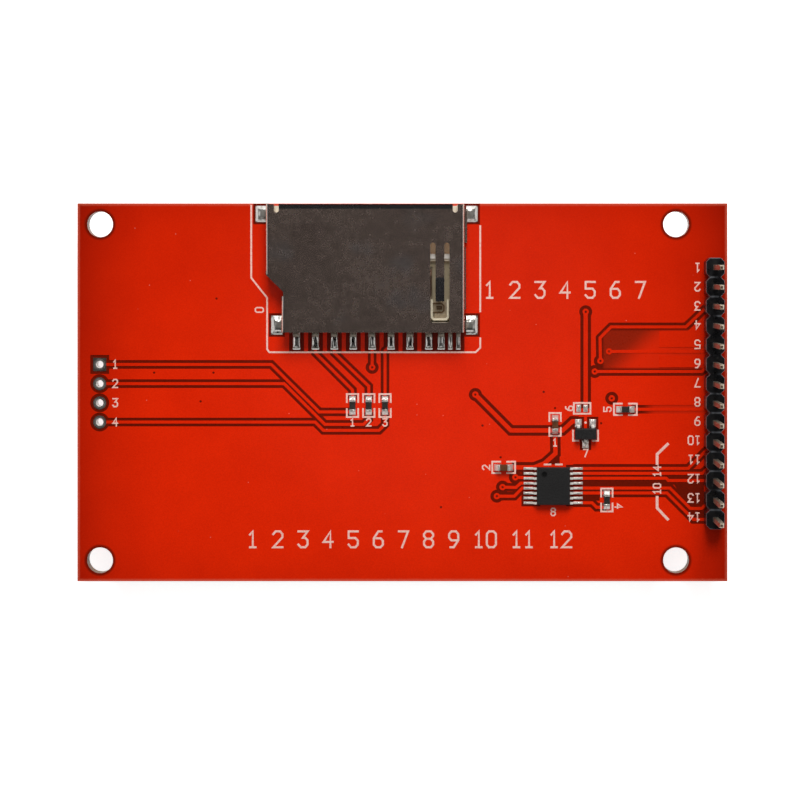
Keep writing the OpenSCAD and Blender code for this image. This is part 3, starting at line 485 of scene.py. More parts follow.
# %% [markdown]
# ## The red solder mask
#
# The mask is a thin red lacquer over copper. It is screened on wet, so it settles with a faint
# orange peel, and the weave of the glass cloth below it shows as a very slight unevenness. Along
# the sawn edge of the board the lacquer thins and a light line shows, and round each mounting hole
# there is a dark ring. Towards the two ends, the long sides and the half with the socket the red is
# painted darker: painted shade, where the light falls off. Over copper it is bright; over bare
# laminate, where the copper is etched away, it is much darker. Two materials on two solids do that
# here, because the etched gaps are really cut through the top layer.

# %% Places that both reds need
hole_mount = next(m for m in frame["record"]["mounts"] if m["kind"] == "bolt_pattern")
holes_mid, holes = Vector(hole_mount["pos_m"]), hole_mount["dims"]
hole_radius = holes["hole_r_mm"] * MM
half_w, half_l = (board_hi.x - board_lo.x) / 2, (board_hi.y - board_lo.y) / 2
pin_x = middle(pins[0]).x


def from_edges(x, y):
    """How far the point is from the board's ends and from its long sides."""
    return half_w - abs(x), half_l - abs(y)


# %% Mask over copper
red_mask = Finish("red_mask", gloss=0.18)
x, y = place_on(red_mask, "xy")
fine, cloudy, ragged = grains(red_mask, (5200, 4), (160, 3), (2500, 2))
body_red = tone(fine * 0.6 + cloudy * 0.4, (0.67, 0.015, 0.0003), (0.83, 0.0225, 0.0006))
to_end, to_side = from_edges(x, y)
end_share, side_share = (1.0 - to_end / 0.013).clamped(), (1.0 - to_side / 0.007).clamped()
upper_share = ((y + 0.002) / 0.022).clamped()
# Painted shade: the red is darker towards the ends, the long sides and the half with the socket,
# where the light falls off.
painted_shade = (end_share ** 2.0 * 0.5 + side_share ** 2.0 * 0.16 + upper_share * 0.2).clamped()
red_with_painted_shade = blend(painted_shade, body_red, (0.2, 0.0035, 0.0001))
from_hole = distance(abs(x - holes_mid.x) - holes["spacing_x_mm"] * MM / 2,
                     abs(y - holes_mid.y) - holes["spacing_y_mm"] * MM / 2)
hole_ring = below(from_hole, hole_radius + 0.16 * MM, hole_radius + 0.52 * MM)
ringed = blend(hole_ring * 0.8, red_with_painted_shade, (0.1, 0.006, 0.0012))
at_rim = below(maths("MINIMUM", to_end, to_side) + ragged * -0.00016, 0.00002, 0.00036)
rimmed = blend(at_rim * 0.5, ringed, (0.66, 0.15, 0.09))
dust = effect(red_mask, specks, Scale=2600, Share=0.003)
weave = maths("SINE", x * 7000.0) * maths("SINE", y * 9000.0) * 0.12
look(red_mask, blend(dust * 0.3, rimmed, (0.8, 0.45, 0.38)), (fine, 0.18, 0.26),
     (fine + weave, 0.006, 0.4))
dress(red_mask, "top_layer")
print("red mask over copper ready")

# %% Mask over bare laminate
# The core shows in three ways: dark red in the etched gaps, pale glass cloth and resin in layers
# along the sawn edge, and plain red mask on the underside. Two of the gaps near the pins are
# lighter than the rest, and the wide one turns to a pale red towards the pins. That red is painted
# darker close to the pins, as painted shade, like the mask.
laminate = Finish("laminate_core", gloss=0.15)
x, y, z, up = place_on(laminate, "xyzu")
fine, fibres = grains(laminate, (4200, 4), (2600, 3))
gap_red = tone(fine, (0.118, 0.0052, 0.0005), (0.155, 0.0068, 0.0008))
wide_red = tone(fine, (0.235, 0.0105, 0.0014), (0.3, 0.0135, 0.002))
past = x - pin_x
# Painted shade: the pale red darkens towards the pins.
pale_red_painted_shade = blend(ramp(past, -0.01, -0.002), (0.68, 0.018, 0.0007), (0.52, 0.0138, 0.0006))
wide_here = blend(ramp(past - y * 1.1, -0.019, -0.014), wide_red, pale_red_painted_shade)
in_wide = ramp(past, -0.0147, -0.0143) * within(y, 0.003, 0.0034, 0.008, 0.0084)
in_faint = ramp(past, -0.0095, -0.0075) * within(y, -0.0034, -0.0031, -0.0014, -0.001)
faint_gaps = blend(in_faint * 0.85, gap_red, (0.58, 0.0155, 0.0006))
top_red = blend(in_wide, faint_gaps, wide_here)
under_red = tone(fine, (0.5, 0.0135, 0.0006), (0.6, 0.0175, 0.0008))

# %% The sawn edge and the walls of the holes
edge_mix = maths("SINE", z * 31000.0) * 0.22 + fibres
edge_tan = tone(edge_mix, (0.33, 0.22, 0.1), (0.62, 0.5, 0.3))
inside_rim = ramp(maths("MINIMUM", *from_edges(x, y)), 0.0005, 0.0006)
wall_tan = blend(inside_rim, edge_tan, (0.2, 0.1, 0.04))
side_or_top = blend(ramp(up, 0.4, 0.6), wall_tan, top_red)
look(laminate, blend(below(up, -0.6, -0.4), side_or_top, under_red), (fibres, 0.26, 0.42),
     (edge_mix, 0.012, 0.4))
dress(laminate, "board")
print("laminate ready")

# %% [markdown]
# ## Making pieces from points
#
# Solder, print and barrels have no solid of the right form, so they are built from points. Two
# helpers do what they share: one turns a profile about an upright line, as on a lathe, and the
# other makes a finished mesh a piece that rides on the module.

# %% Helpers for pieces
def turned(mesh, centre, profile, sides=20):
    """Turns a profile of (radius, height) pairs about an upright line through centre."""
    turns = [2 * math.pi * k / sides for k in range(sides)]
    rings = [[mesh.verts.new((centre.x + radius * math.cos(turn),
                              centre.y + radius * math.sin(turn), height)) for turn in turns]
             for radius, height in profile]
    for a, b in zip(rings, rings[1:]):
        for k in range(sides):
            mesh.faces.new((a[k], b[k], b[(k + 1) % sides], a[(k + 1) % sides]))


def joined(name, mesh, finish, slot, *cad_nodes, smooth=True):
    """Turns what was built into a piece that rides on the module."""
    for face in mesh.faces:
        face.smooth = smooth
    data = bpy.data.meshes.new(name)
    mesh.to_mesh(data)
    mesh.free()
    data.materials.append(finish.material)
    piece = placed(name, data)
    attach(piece, "root")
    if cad_nodes:
        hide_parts(*cad_nodes)
    return piece


# %% [markdown]
# ## Solder, tin and the plated lands
#
# Solder is a bright, soft metal. It is a mirror where it is smooth and frosty where it froze in
# grains, with brown flux left round it. Tinned lands are the same metal, laid on flat and thin,
# and round the edge holes they are darker in a ring. The steps between clean and dull come
# from a cloudy noise in the roughness.

# %% Solder
base_lo, base_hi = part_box("socket_base")
solder = Finish("bright_solder", metal=1.0)
y, = place_on(solder, "y")
fine, cloudy = grains(solder, (6500, 4), (1500, 3))
flux = effect(solder, specks, Scale=1500, Share=0.05)
clean = tone(cloudy, (0.5, 0.485, 0.455), (0.74, 0.73, 0.7))
on_foot = ramp(y, base_lo.y + 0.1 * MM, base_lo.y + 0.4 * MM)
look(solder, blend(flux * 0.5, clean, (0.3, 0.22, 0.13)), (cloudy, 0.25, 0.38),
     (cloudy + fine * 0.1, 0.008, 0.4), Metallic=1.0 - on_foot * 0.16)
frosted_solder = grained("frosted_solder", (1700, 3), (0.62, 0.595, 0.55), (0.8, 0.785, 0.75),
                         (0.34, 0.44), (0.003, 0.2), metal=0.78, gloss=0.6)

# %% Tinned lands and leads
pad_boxes = [b for b in lumps("pads") if b[1].z > top_z - 1e-5]
edge_pads = sorted((b for b in pad_boxes if b[0].x < board_lo.x + 0.004), key=lambda b: -b[0].y)
edge_step = 2.54 * MM
tin = Finish("dull_tin", metal=0.9)
fine, cloudy = grains(tin, (5200, 4), (1100, 3))
x, y = place_on(tin, "xy")
steps_along = (y - (middle(edge_pads[0]).y - 10 * edge_step)) / edge_step
from_pad = distance(x - middle(edge_pads[0]).x,
                    (maths("FRACT", steps_along + 0.5) - 0.5) * edge_step)
# The tin is darker in a ring round each edge hole.
dark_ring_round_holes = within(from_pad, 0.62 * MM, 0.9 * MM, 1.4 * MM, 1.5 * MM)
clean = tone(cloudy, (0.66, 0.63, 0.6), (0.88, 0.86, 0.83))
look(tin, blend(dark_ring_round_holes * 0.75, clean, (0.16, 0.125, 0.095)), (cloudy, 0.24, 0.38),
     (fine, 0.006, 0.4))
dress(tin, "pads")

# A lighter, far less metallic copy of the tin for leads and barrels: a painted sheen, as sloping
# leads catch the light.
bright_tin_painted_sheen = grained("bright_tin_painted_sheen", (1400, 3), (0.8, 0.77, 0.72), (0.95, 0.93, 0.9),
                     (0.3, 0.46), metal=0.35, gloss=0.6)
bumped(bright_tin_painted_sheen, *grains(bright_tin_painted_sheen, (5200, 4)), 0.006, 0.4)
print("solder and tin ready")

# %% Plated barrels of the edge holes
# A tube of the same tin lines each hole at the left, from one face of the board to the other.
rim_r, barrel_r, flare = 0.49 * MM, 0.485 * MM, 0.1 * MM
mesh = bmesh.new()
for land in edge_pads:
    turned(mesh, middle(land), [(rim_r, top_z), (barrel_r, top_z - flare),
                                (barrel_r, board_lo.z + flare), (rim_r, board_lo.z)], 32)
joined("hole_barrels", mesh, bright_tin_painted_sheen, "solder")
print(len(edge_pads), "barrels")

# %% [markdown]
# ## Print
#
# White ink is screened over the mask. It is thin enough for the red to warm it, it is a little
# ragged at the edges and it has pinholes. The frames and outlines are solids of the model; the
# numbers come later, as raised strokes in the same ink.

# %% Ink
ink = Finish("white_ink", Roughness=0.6, gloss=0.35)
fine, = grains(ink, (5200, 5))
look(ink, blend(ramp(fine, 0.3, 0.56), (0.8, 0.37, 0.31), (0.86, 0.57, 0.51)),
     bump=(fine, 0.01, 0.6))
dress(ink, "silk_print")
print("ink ready")

# %% [markdown]
# ## Softening a stamped or moulded solid
#
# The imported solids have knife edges. A real stamped or moulded edge has a small radius, and that
# radius is what catches the light. It could be modelled by hand, but the shape is right already,
# so this helper copies a node's mesh, joins its loose triangles into whole faces, and rounds the
# sharp edges with a bevel whose normals blend into the faces.

# %% A helper that rounds edges
def softened(name, cad_node, radius_mm, finish, slot, steps=2, sharp=32.0):
    """A rounded copy of a CAD node that stands for it."""
    mesh = bmesh.new()
    mesh.from_mesh(nodes[cad_node].data)
    bmesh.ops.remove_doubles(mesh, verts=mesh.verts, dist=2e-6)
    bmesh.ops.dissolve_limit(mesh, angle_limit=math.radians(1.0), verts=mesh.verts,
                             edges=mesh.edges)
    piece = joined(name, mesh, finish, slot, cad_node)
    bevel = piece.modifiers.new("round_edges", "BEVEL")
    bevel.width, bevel.segments = radius_mm * MM, steps
    bevel.limit_method, bevel.angle_limit = "ANGLE", math.radians(sharp)
    bevel.harden_normals = bevel.use_clamp_overlap = True
    bevel.miter_outer = "MITER_ARC"
    even = piece.modifiers.new("even_normals", "WEIGHTED_NORMAL")
    even.mode, even.weight, even.keep_sharp = "FACE_AREA", 100, True
    return piece


# %% [markdown]
# ## The card socket's steel cover
#
# The cover is thin stainless strip, stamped, folded and left as it comes from the roll: a dull
# grey sheen with a faint cloudiness, rolling grain along its length, a few specks and hairline
# scratches. Faces that don't face up get a warmer, lighter colour, a painted highlight on the cut
# edges and folds. The lip and the tongue that are bent down get a dark bluish colour, a painted
# reflection of the dark above. The sheen needs a real metal, with a roughness that changes from
# place to place; the bright edges come from the softened folds and cuts and from the painted
# highlight.

# %% Steel
steel = Finish("rolled_steel", metal=0.93)
up, = place_on(steel, "u")
cloudy, mottled, fine, smudges = grains(steel, (110, 4), (900, 3), (3000, 2), (190, 2))
all_grain = cloudy * 0.4 + (mottled * 0.4 + fine * 0.2)
flat_steel = blend(between(all_grain, -0.4, 1.4), (0.46, 0.352, 0.306), (0.66, 0.505, 0.445))
hazy = blend(ramp(smudges, 0.52, 0.72) * 0.35, flat_steel, (0.57, 0.575, 0.62))
# Painted highlight: faces that don't face up are lighter and warmer.
painted_edge_highlight = blend(below(up, 0.6, 0.85), hazy, (0.62, 0.52, 0.42))
# Painted reflection: the bent-down lip and tongue are painted dark bluish.
turned_down = within(up, 0.88, 0.9, 0.985, 0.997)
painted_dark_reflection = blend(turned_down * 0.85, painted_edge_highlight, (0.13, 0.148, 0.17))
spots = effect(steel, specks, Scale=520, Share=0.01)
lines = effect(steel, scratches, Length=110, Width=3000, Share=0.03)
marks = maths("MAXIMUM", spots, lines * 0.5)
look(steel, blend(marks * 0.6, painted_dark_reflection, (0.8, 0.78, 0.75)), bump=(mottled, 0.002, 0.2),
     Roughness=between(all_grain, 0.24, 0.29) + marks * 0.03)
cover = softened("socket_cover", "socket_shell", 0.09, steel, "socket_steel", steps=3, sharp=40)
print("socket cover:", len(cover.data.polygons), "faces before rounding")

# %% Nylon of the socket
# Deep inside, out of the light of the mouth, the low moulding is painted dark as painted shade;
# nearer the mouth it is a warm tan.
nylon = Finish("cream_nylon", gloss=0.4)
cloudy, fine = grains(nylon, (300, 3), (4800, 3))
y, z = place_on(nylon, "yz")
cream = tone(cloudy, (0.7, 0.62, 0.5), (0.8, 0.73, 0.62))
# Painted shade on the low floor far from the mouth, warm tan nearer it.
deep_floor_with_painted_shade = blend(ramp(y, board_hi.y - 0.008, board_hi.y - 0.0074),
                tone(cloudy, (0.34, 0.29, 0.19), (0.42, 0.36, 0.25)), (0.86, 0.66, 0.47))
deep = below(z, top_z + 0.6 * MM, top_z + 0.9 * MM)
inside = below(y, board_hi.y - 0.003, board_hi.y - 0.0022)
look(nylon, blend(deep * inside, cream, deep_floor_with_painted_shade), (fine, 0.46, 0.62), (fine, 0.008, 0.5))
# A darker copy of the nylon for the window frame is painted shade; a paler copy for the ribs is
# painted light.
frame_nylon_painted_shade = grained("frame_nylon_painted_shade", (4800, 3), (0.5, 0.45, 0.34), (0.62, 0.57, 0.45),
                      bump=(0.008, 0.5), gloss=0.4)
pale_nylon_painted_light = grained("pale_nylon_painted_light", (4800, 3), (0.86, 0.84, 0.79), (0.96, 0.94, 0.9),
                     bump=(0.008, 0.5), gloss=0.4)
softened("socket_moulding", "socket_base", 0.06, nylon, "socket_nylon")

# %% Spring contacts
# Tinned tails behind the socket, painted dark as painted shade under the cover, gilded springs in
# it, and springs further in painted dark as painted shade.
spring = Finish("spring_metal", metal=0.6)
y, = place_on(spring, "y")
fine, = grains(spring, (5200, 4))
# Painted shade: the springs further in and the tin of the tails are painted dark.
gold_and_painted_shade = blend(ramp(y, base_lo.y + 4.2 * MM, base_lo.y + 4.6 * MM),
             tone(fine, (0.4, 0.32, 0.22), (0.52, 0.43, 0.31)),
             tone(fine, (0.07, 0.032, 0.018), (0.12, 0.06, 0.035)))
tail_tin_painted_shade = tone(fine, (0.15, 0.14, 0.11), (0.34, 0.32, 0.26))
look(spring, blend(below(y, base_lo.y, base_lo.y + 0.6 * MM), gold_and_painted_shade, tail_tin_painted_shade),
     (fine, 0.46, 0.58), (fine, 0.004, 0.4))
# A dark copy of the spring metal for the catch under the window: painted shade of a groove and a
# hole.
dark_brass_painted_shade = grained("dark_brass_painted_shade", (5200, 4), (0.09, 0.05, 0.025), (0.17, 0.1, 0.05),
                        (0.36, 0.5), metal=0.5)
softened("card_contacts", "socket_contacts", 0.03, spring, "contact_metal")
softened("card_switches", "socket_switches", 0.03, spring, "contact_metal")
print("socket inside dressed")


# %% [markdown]
# ## Solder joints
#
# Solder wets a flat tail and its land in one skin: a thin coat over the tail, a hollow slope down
# to the land's edge, and a rounded toe. A scaled sphere would bulge the wrong way. So each joint
# is a small grid of points over its land, raised to the metal's height over the tail and falling
# away from it along a hollow curve, with a little unevenness so that no two are alike.

# %% A helper for a joint
def joint_skin(mesh, land, core, rise, coat, seed, steps=(16, 24), full=0.0):
    """Adds a skin of solder over one land; core is the box of the metal in it.

    The slope from the metal to the land's edge is hollow, or as round as a drop when full is 1.
    rise is the metal's height over the land, and coat is the solder's thickness on it.
    """
    rng = random.Random(seed)
    lean_x, lean_y, swell = rng.uniform(-0.2, 0.2), rng.uniform(-0.2, 0.2), rng.uniform(0.85, 1.15)
    (x0, y0), (x1, y1) = land[0].xy, land[1].xy
    (a0, b0), (a1, b1) = core[0].xy, core[1].xy
    nx, ny = steps

    def corner(i, j):
        """A point of the skin, and how far off the metal it is, from 0 to 1."""
        px, py = x0 + (x1 - x0) * i / nx, y0 + (y1 - y0) * j / ny
        across = (px - (a0 + a1) / 2) / max((a1 - a0) / 2, 1e-6) + lean_x
        along = (py - (b0 + b1) / 2) / max((b1 - b0) / 2, 1e-6) + lean_y
        dome = max(0.0, 1 - across * across) * max(0.0, 1 - along ** 4) ** 0.5
        away = min(1.0, math.hypot(max(a0 - px, 0, px - a1) / max(a0 - x0, x1 - a1, 1e-6),
                                   max(b0 - py, 0, py - b1) / max(b0 - y0, y1 - b1, 1e-6)))
        slope = (1 - full) * (1 - away) ** 1.8 + full * (1 - away ** 2.4) ** 0.7
        ripple = 0.025 * MM * math.sin(5 * across + seed) * math.sin(2.6 * along + 2 * seed)
        height = 0.012 * MM + (rise + coat * swell * dome + ripple) * slope
        return mesh.verts.new((px, py, land[1].z + height)), away

    rows = [[corner(i, j) for i in range(nx + 1)] for j in range(ny + 1)]
    faces = []
    for j in range(ny):
        for i in range(nx):
            corners = (rows[j][i], rows[j][i + 1], rows[j + 1][i + 1], rows[j + 1][i])
            if min(away for v, away in corners) < 1.0:
                faces.append(mesh.faces.new([v for v, away in corners]))
    bare = [v for row in rows for v, away in row if not v.link_faces]
    bmesh.ops.delete(mesh, geom=bare, context="VERTS")
    return faces


def flat_box(x0, y0, x1, y1, z=0.0):
    """A box without height, in metres."""
    return Vector((x0, y0, z)), Vector((x1, y1, z))


def around(at, half_x, half_y):
    """A flat box that reaches half_x and half_y mm from a point."""
    reach = Vector((half_x, half_y, 0)) * MM
    return at - reach, at + reach


# %% Joints of the socket
shell_lo, shell_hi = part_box("socket_shell")
metal = lumps("socket_contacts") + lumps("socket_switches")
mesh = bmesh.new()
count = 0
for k, land in enumerate(pad_boxes):
    at = middle(land)
    if at.y < shell_lo.y - 0.003 or not shell_lo.x - 0.002 < at.x < shell_hi.x + 0.002:
        continue
    own = [m for m in metal if abs(middle(m).x - at.x) < 0.0003 and m[0].y < land[1].y]
    if own:
        half_tail = min((own[0][1].x - own[0][0].x) / 2, 0.4 * MM) * 0.85
        end_y = base_lo.y + 0.1 * MM
        reach = (land[0], Vector((land[1].x, end_y, land[1].z)))
        core = flat_box(at.x - half_tail, land[0].y + 0.48 * MM, at.x + half_tail, end_y)
        joint_skin(mesh, reach, core, 0.24 * MM, 0.11 * MM, k, full=0.7)
    else:
        core = around(at, 0.36, 0.66)
        if at.x < middle((shell_lo, shell_hi)).x:
            core[1].x = land[1].x
        else:
            core[0].x = land[0].x
        joint_skin(mesh, land, core, 0.28 * MM, 0.12 * MM, k, steps=(20, 26), full=0.45)
    count += 1
joined("socket_joints", mesh, solder, "solder", "socket_solder")
print(count, "joints on the socket")

# %% Joints of the chips and the jumper
mesh = bmesh.new()
chip_bodies = {n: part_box(n) for n in nodes if n.startswith(("resistor", "capacitor"))}
jumper_lo, jumper_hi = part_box("jumper_solder")
cap = 0.3 * MM


def lies_along(lo, hi):
    """The axis that a part is longer in: 0 for X, 1 for Y."""
    return 0 if hi.x - lo.x > hi.y - lo.y else 1


def is_near(at, lo, hi, margin):
    """Whether a point is within a margin of a box, seen from above."""
    return all(lo[i] - margin < at[i] < hi[i] + margin for i in (0, 1))


count = 0
for k, land in enumerate(pad_boxes):
    at = middle(land)
    for lo, hi in chip_bodies.values():
        if is_near(at, lo, hi, 0.6 * MM):
            chip, axis = middle((lo, hi)), lies_along(lo, hi)
            part = (land[0].copy(), land[1].copy())
            if at[axis] > chip[axis]:
                part[0][axis] = hi[axis] - cap
            else:
                part[1][axis] = lo[axis] + cap
            core = flat_box(max(lo.x, part[0].x), max(lo.y, part[0].y),
                            min(hi.x, part[1].x), min(hi.y, part[1].y))
            joint_skin(mesh, part, core, hi.z - top_z - 0.016 * MM, 0.08 * MM, k, full=0.6)
            count += 1
    if is_near(at, jumper_lo, jumper_hi, 0.3 * MM):
        joint_skin(mesh, land, around(at, 0.12, 0.28), 0.16 * MM, 0.1 * MM, k, full=0.9)
        count += 1


# %% Joints of the two packages
def land_under(at):
    """The land that a lead stands on."""
    return next(b for b in pad_boxes if is_near(at, *b, 0.0))


chip_middle = middle(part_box("controller_body"))
for k, lead in enumerate(lumps("controller_leads")):
    at, outward = middle(lead), math.copysign(1, middle(lead).x - chip_middle.x)
    land = land_under(at)
    end, tip = (land[1].x, lead[1].x) if outward > 0 else (land[0].x, lead[0].x)
    inner = tip - outward * 0.14 * MM
    reach = sorted((end - outward * 0.04 * MM, inner))
    metal_in = sorted((end - outward * 0.24 * MM, inner))
    joint_skin(mesh, flat_box(reach[0], land[0].y, reach[1], land[1].y, land[1].z),
               flat_box(metal_in[0], at.y - 0.07 * MM, metal_in[1], at.y + 0.07 * MM),
               0.13 * MM, 0.05 * MM, 90 + k, (12, 10), 0.8)
    count += 1
body_middle = middle(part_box("regulator_body"))
for k, lead in enumerate(lumps("regulator_leads")):
    at, outward = middle(lead), math.copysign(1, middle(lead).y - body_middle.y)
    tip = lead[1].y if outward > 0 else lead[0].y
    ends = sorted((tip, tip - outward * 0.5 * MM))
    joint_skin(mesh, land_under(at), flat_box(lead[0].x, ends[0], lead[1].x, ends[1]),
               0.22 * MM, 0.14 * MM, 150 + k, full=0.7)
    count += 1
joined("small_joints", mesh, frosted_solder, "solder", "chip_solder", "jumper_solder")
print(count, "joints on the small parts")

# %% Cones round the pin tails
mesh = bmesh.new()
header_cones = lumps("header_solder")
for k, cone in enumerate(header_cones):
    wide, tall = (cone[1].x - cone[0].x) / 2, cone[1].z - cone[0].z
    swell = random.Random(k).uniform(0.85, 1.0)
    steps = [i / 10 for i in range(11)]
    turned(mesh, middle(cone), [(wide * (0.4 + 0.6 * (1 - t) ** (1.9 * swell)),
                                 cone[1].z - tall * swell * t) for t in steps])
joined("header_joints", mesh, solder, "solder", "header_solder")
print(len(header_cones), "cones under the header")

# %% [markdown]
# ## The pin header
#
# The strip is moulded in black nylon as a row of eight-sided blocks, and square brass pins with
# pale gilding are pressed through it. The cut ends show bare reddish brass. The plastic is glossy
# at the edges and slightly frosted on the faces from the mould. Its rims and the seams between
# the blocks are painted a lighter grey-blue: a painted highlight.

# %% Header plastic
black_nylon = Finish("black_nylon", gloss=0.6)
cloudy, fine = grains(black_nylon, (700, 3), (5200, 4))
lint = effect(black_nylon, specks, Scale=1500, Share=0.03)
y, up = place_on(black_nylon, "yu")
pitch = abs(middle(pins[-1]).y - middle(pins[0]).y) / (len(pins) - 1)
along = (y - (middle(pins[0]).y - 20 * pitch)) / pitch
from_seam = abs(maths("FRACT", along) - 0.5)
seam = below(from_seam, 0.02, 0.07) * ramp(cloudy, 0.42, 0.56)
# Painted highlight on the rims and on the seams between blocks.
painted_rim_highlight = maths("MAXIMUM", within(up, 0.15, 0.4, 0.93, 0.99), seam * 0.8)
plastic = blend(painted_rim_highlight, tone(cloudy, (0.0045, 0.0045, 0.0055), (0.01, 0.01, 0.0115)),
                (0.115, 0.122, 0.14))
look(black_nylon, blend(lint * 0.35, plastic, (0.1, 0.095, 0.09)), (cloudy, 0.24, 0.36),
     (fine, 0.006, 0.5))
softened("header_strip", "header_housing", 0.14, black_nylon, "header_plastic", steps=3)

# %% Header pins
pin_metal = Finish("gilded_pin", metal=1.0)
up, = place_on(pin_metal, "u")
fine, = grains(pin_metal, (4200, 4))
draw_lines = effect(pin_metal, scratches, Length=300, Width=5200, Share=0.2)
gilding = tone(fine, (0.34, 0.305, 0.23), (0.47, 0.425, 0.33))
cut_end = tone(fine, (0.36, 0.22, 0.14), (0.52, 0.35, 0.25))
look(pin_metal, blend(ramp(up, 0.9, 0.98), gilding, cut_end), (fine, 0.38, 0.5),
     (fine + draw_lines, 0.006, 0.5))
softened("gilded_pins", "header_pins", 0.045, pin_metal, "pin_tin")
print("header dressed")

# %% [markdown]
# ## Chips
#
# The two packages are black epoxy from a mould with a spark-eroded, matt surface. The chip
# resistors are a pale ceramic slab, printed black on top, with tinned caps at both ends; the
# capacitors are brown ceramic right through with the same caps. One material can hold both the
# body and the caps: the box coordinates of a piece run from 0 to 1 along it, so the ends are
# found without measuring anything.

# %% Epoxy packages
dimple_in, dimple_r = (1.0 * MM, 0.9 * MM), (0.34 * MM, 0.42 * MM)
chip_lo, chip_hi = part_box("controller_body")
epoxy = Finish("black_epoxy", gloss=0.25)
fine, cloudy = grains(epoxy, (7000, 5), (500, 2))
x, y = place_on(epoxy, "xy")
# The pin-one dimple is painted nearly black: painted shade in its shallow hollow.
from_dimple = distance(x - (chip_lo.x + dimple_in[0]), y - (chip_hi.y - dimple_in[1]))
matt = tone(fine, (0.008, 0.008, 0.0085), (0.024, 0.0235, 0.024))
look(epoxy, blend(ramp(from_dimple, *dimple_r), (0.002, 0.002, 0.002), matt),
     (cloudy, 0.5, 0.66), (fine, 0.02, 0.7))
softened("controller_package", "controller_body", 0.05, epoxy, "package_black")
softened("regulator_package", "regulator_body", 0.05, epoxy, "package_black")
softened("controller_feet", "controller_leads", 0.03, bright_tin_painted_sheen, "lead_tin")
softened("regulator_feet", "regulator_leads", 0.04, bright_tin_painted_sheen, "lead_tin")
print("packages dressed")


# %% Resistors and capacitors
def chip_finish(name, axis, body_dark, body_light):
    """Body and end caps of a chip part that lies along the given axis."""
    made = Finish(name)
    along = split(coordinates(made.tree, "Generated"))[axis]
    fine, = grains(made, (5200, 4))
    cap = ramp(abs(along - 0.5) + fine * 0.05, 0.335, 0.355)
    look(made, blend(cap, tone(fine, body_dark, body_light), (0.74, 0.72, 0.68)),
         bump=(fine, 0.01, 0.6), Metallic=cap, Roughness=cap * -0.12 + between(fine, 0.36, 0.48))
    return made


body_colours = {"resistor": ((0.018, 0.016, 0.015), (0.035, 0.031, 0.028)),
                "capacitor": ((0.085, 0.03, 0.011), (0.13, 0.048, 0.018))}
chip_finishes = {kind: [chip_finish(f"{kind}_{word}", axis, *colours)
                        for axis, word in enumerate(("across", "along"))]
                 for kind, colours in body_colours.items()}
for name, box in chip_bodies.items():
    kind = name.split("_")[0]
    softened("soft_" + name, name, 0.05, chip_finishes[kind][lies_along(*box)], kind + "_body", 3)
print(len(chip_bodies), "chip parts dressed")

# %% [markdown]
# ## Printed numbers
#
# Beside the pins and parts the board has small print. Here plain counting numbers stand in those
# places. A font would bring in letters with thick and thin strokes, while a board's print is
# drawn with a pen of one width. So each digit is one or two lines on a grid of 4 by 6, and a
# ribbon of ink follows each line, mitred at its corners and a hair thick. It thins a little along
# its way, so that where a line crosses itself one stroke lies clearly over the other.

# %% Strokes of the digits
digit_lines = {
    "0": ["1,0 3,0 4,1 4,5 3,6 1,6 0,5 0,1 1,0"],
    "1": ["0.8,4.8 2,6 2,0", "0.8,0 3.2,0"],
    "2": ["0,5 1,6 3,6 4,5 4,3.8 0,0 4,0"],
    "3": ["0,6 4,6 2,3.6 3,3.6 4,2.6 4,1 3,0 1,0 0,1"],
    "4": ["3,0 3,6 0,2 4,2"],
    "5": ["4,6 0,6 0,3.5 3,3.5 4,2.5 4,1 3,0 1,0 0,1"],
    "6": ["3.4,6 2,6 0,3.4 0,1 1,0 3,0 4,1 4,2.4 3,3.4 0.2,3.4"],
    "7": ["0,6 4,6 1.4,0"],
    "8": ["1,3.2 0,4.2 0,5 1,6 3,6 4,5 4,4.2 3,3.2 1,3.2",
          "1,3.2 0,2.2 0,1 1,0 3,0 4,1 4,2.2 3,3.2"],
    "9": ["0.6,0 2,0 4,2.6 4,5 3,6 1,6 0,5 0,3.6 1,2.6 3.8,2.6"]}


# %% A ribbon of ink along a line
def ribbon(mesh, points, width, z, thick):
    """A flat ribbon with mitred corners along an open line of 2-D points, in metres."""
    left, right = [], []
    for k, p in enumerate(points):
        before = (p - points[k - 1]).normalized() if k else None
        after = (points[k + 1] - p).normalized() if k < len(points) - 1 else None
        a, b = before or after, after or before
        normal_a, normal_b = Vector((-a.y, a.x)), Vector((-b.y, b.x))
        push = (normal_a + normal_b) / max(1 + normal_a.dot(normal_b), 0.35) * width / 2
        p = p - a * width / 2 if before is None else p + b * width / 2 if after is None else p
        left.append(p + push)
        right.append(p - push)
    thinner = thick * 0.3 / len(points)
    low, high = [[[mesh.verts.new((q.x, q.y, z + is_top * (thick - k * thinner)))
                   for k, q in enumerate(line)] for line in (left, right)] for is_top in (0, 1)]
    for k in range(len(points) - 1):
        for a, b in (high, (low[0], high[0]), (high[1], low[1])):
            mesh.faces.new((a[k], b[k], b[k + 1], a[k + 1]))


def printed(mesh, text, at, height, turn=0, pen=0.18, pitch=1.42, centred=False):
    """Writes digits: at is the foot of the first one in mm, turn is in quarter turns."""
    unit = height / 6 * 0.86
    step = unit * 4 * pitch
    shift = -(step * (len(text) - 1) + unit * 4) / 2 if centred else 0
    ca, sa = [(1, 0), (0, 1), (-1, 0), (0, -1)][turn]
    for k, char in enumerate(text):
        for layer, line in enumerate(digit_lines.get(char, [])):
            points = []
            for gx, gy in (map(float, place.split(",")) for place in line.split()):
                px, py = shift + k * step + gx * unit, gy * height / 6
                points.append(Vector((at[0] + ca * px - sa * py, at[1] + sa * px + ca * py)) * MM)
            ribbon(mesh, points, pen * MM, top_z, (0.02 - 0.003 * layer) * MM)


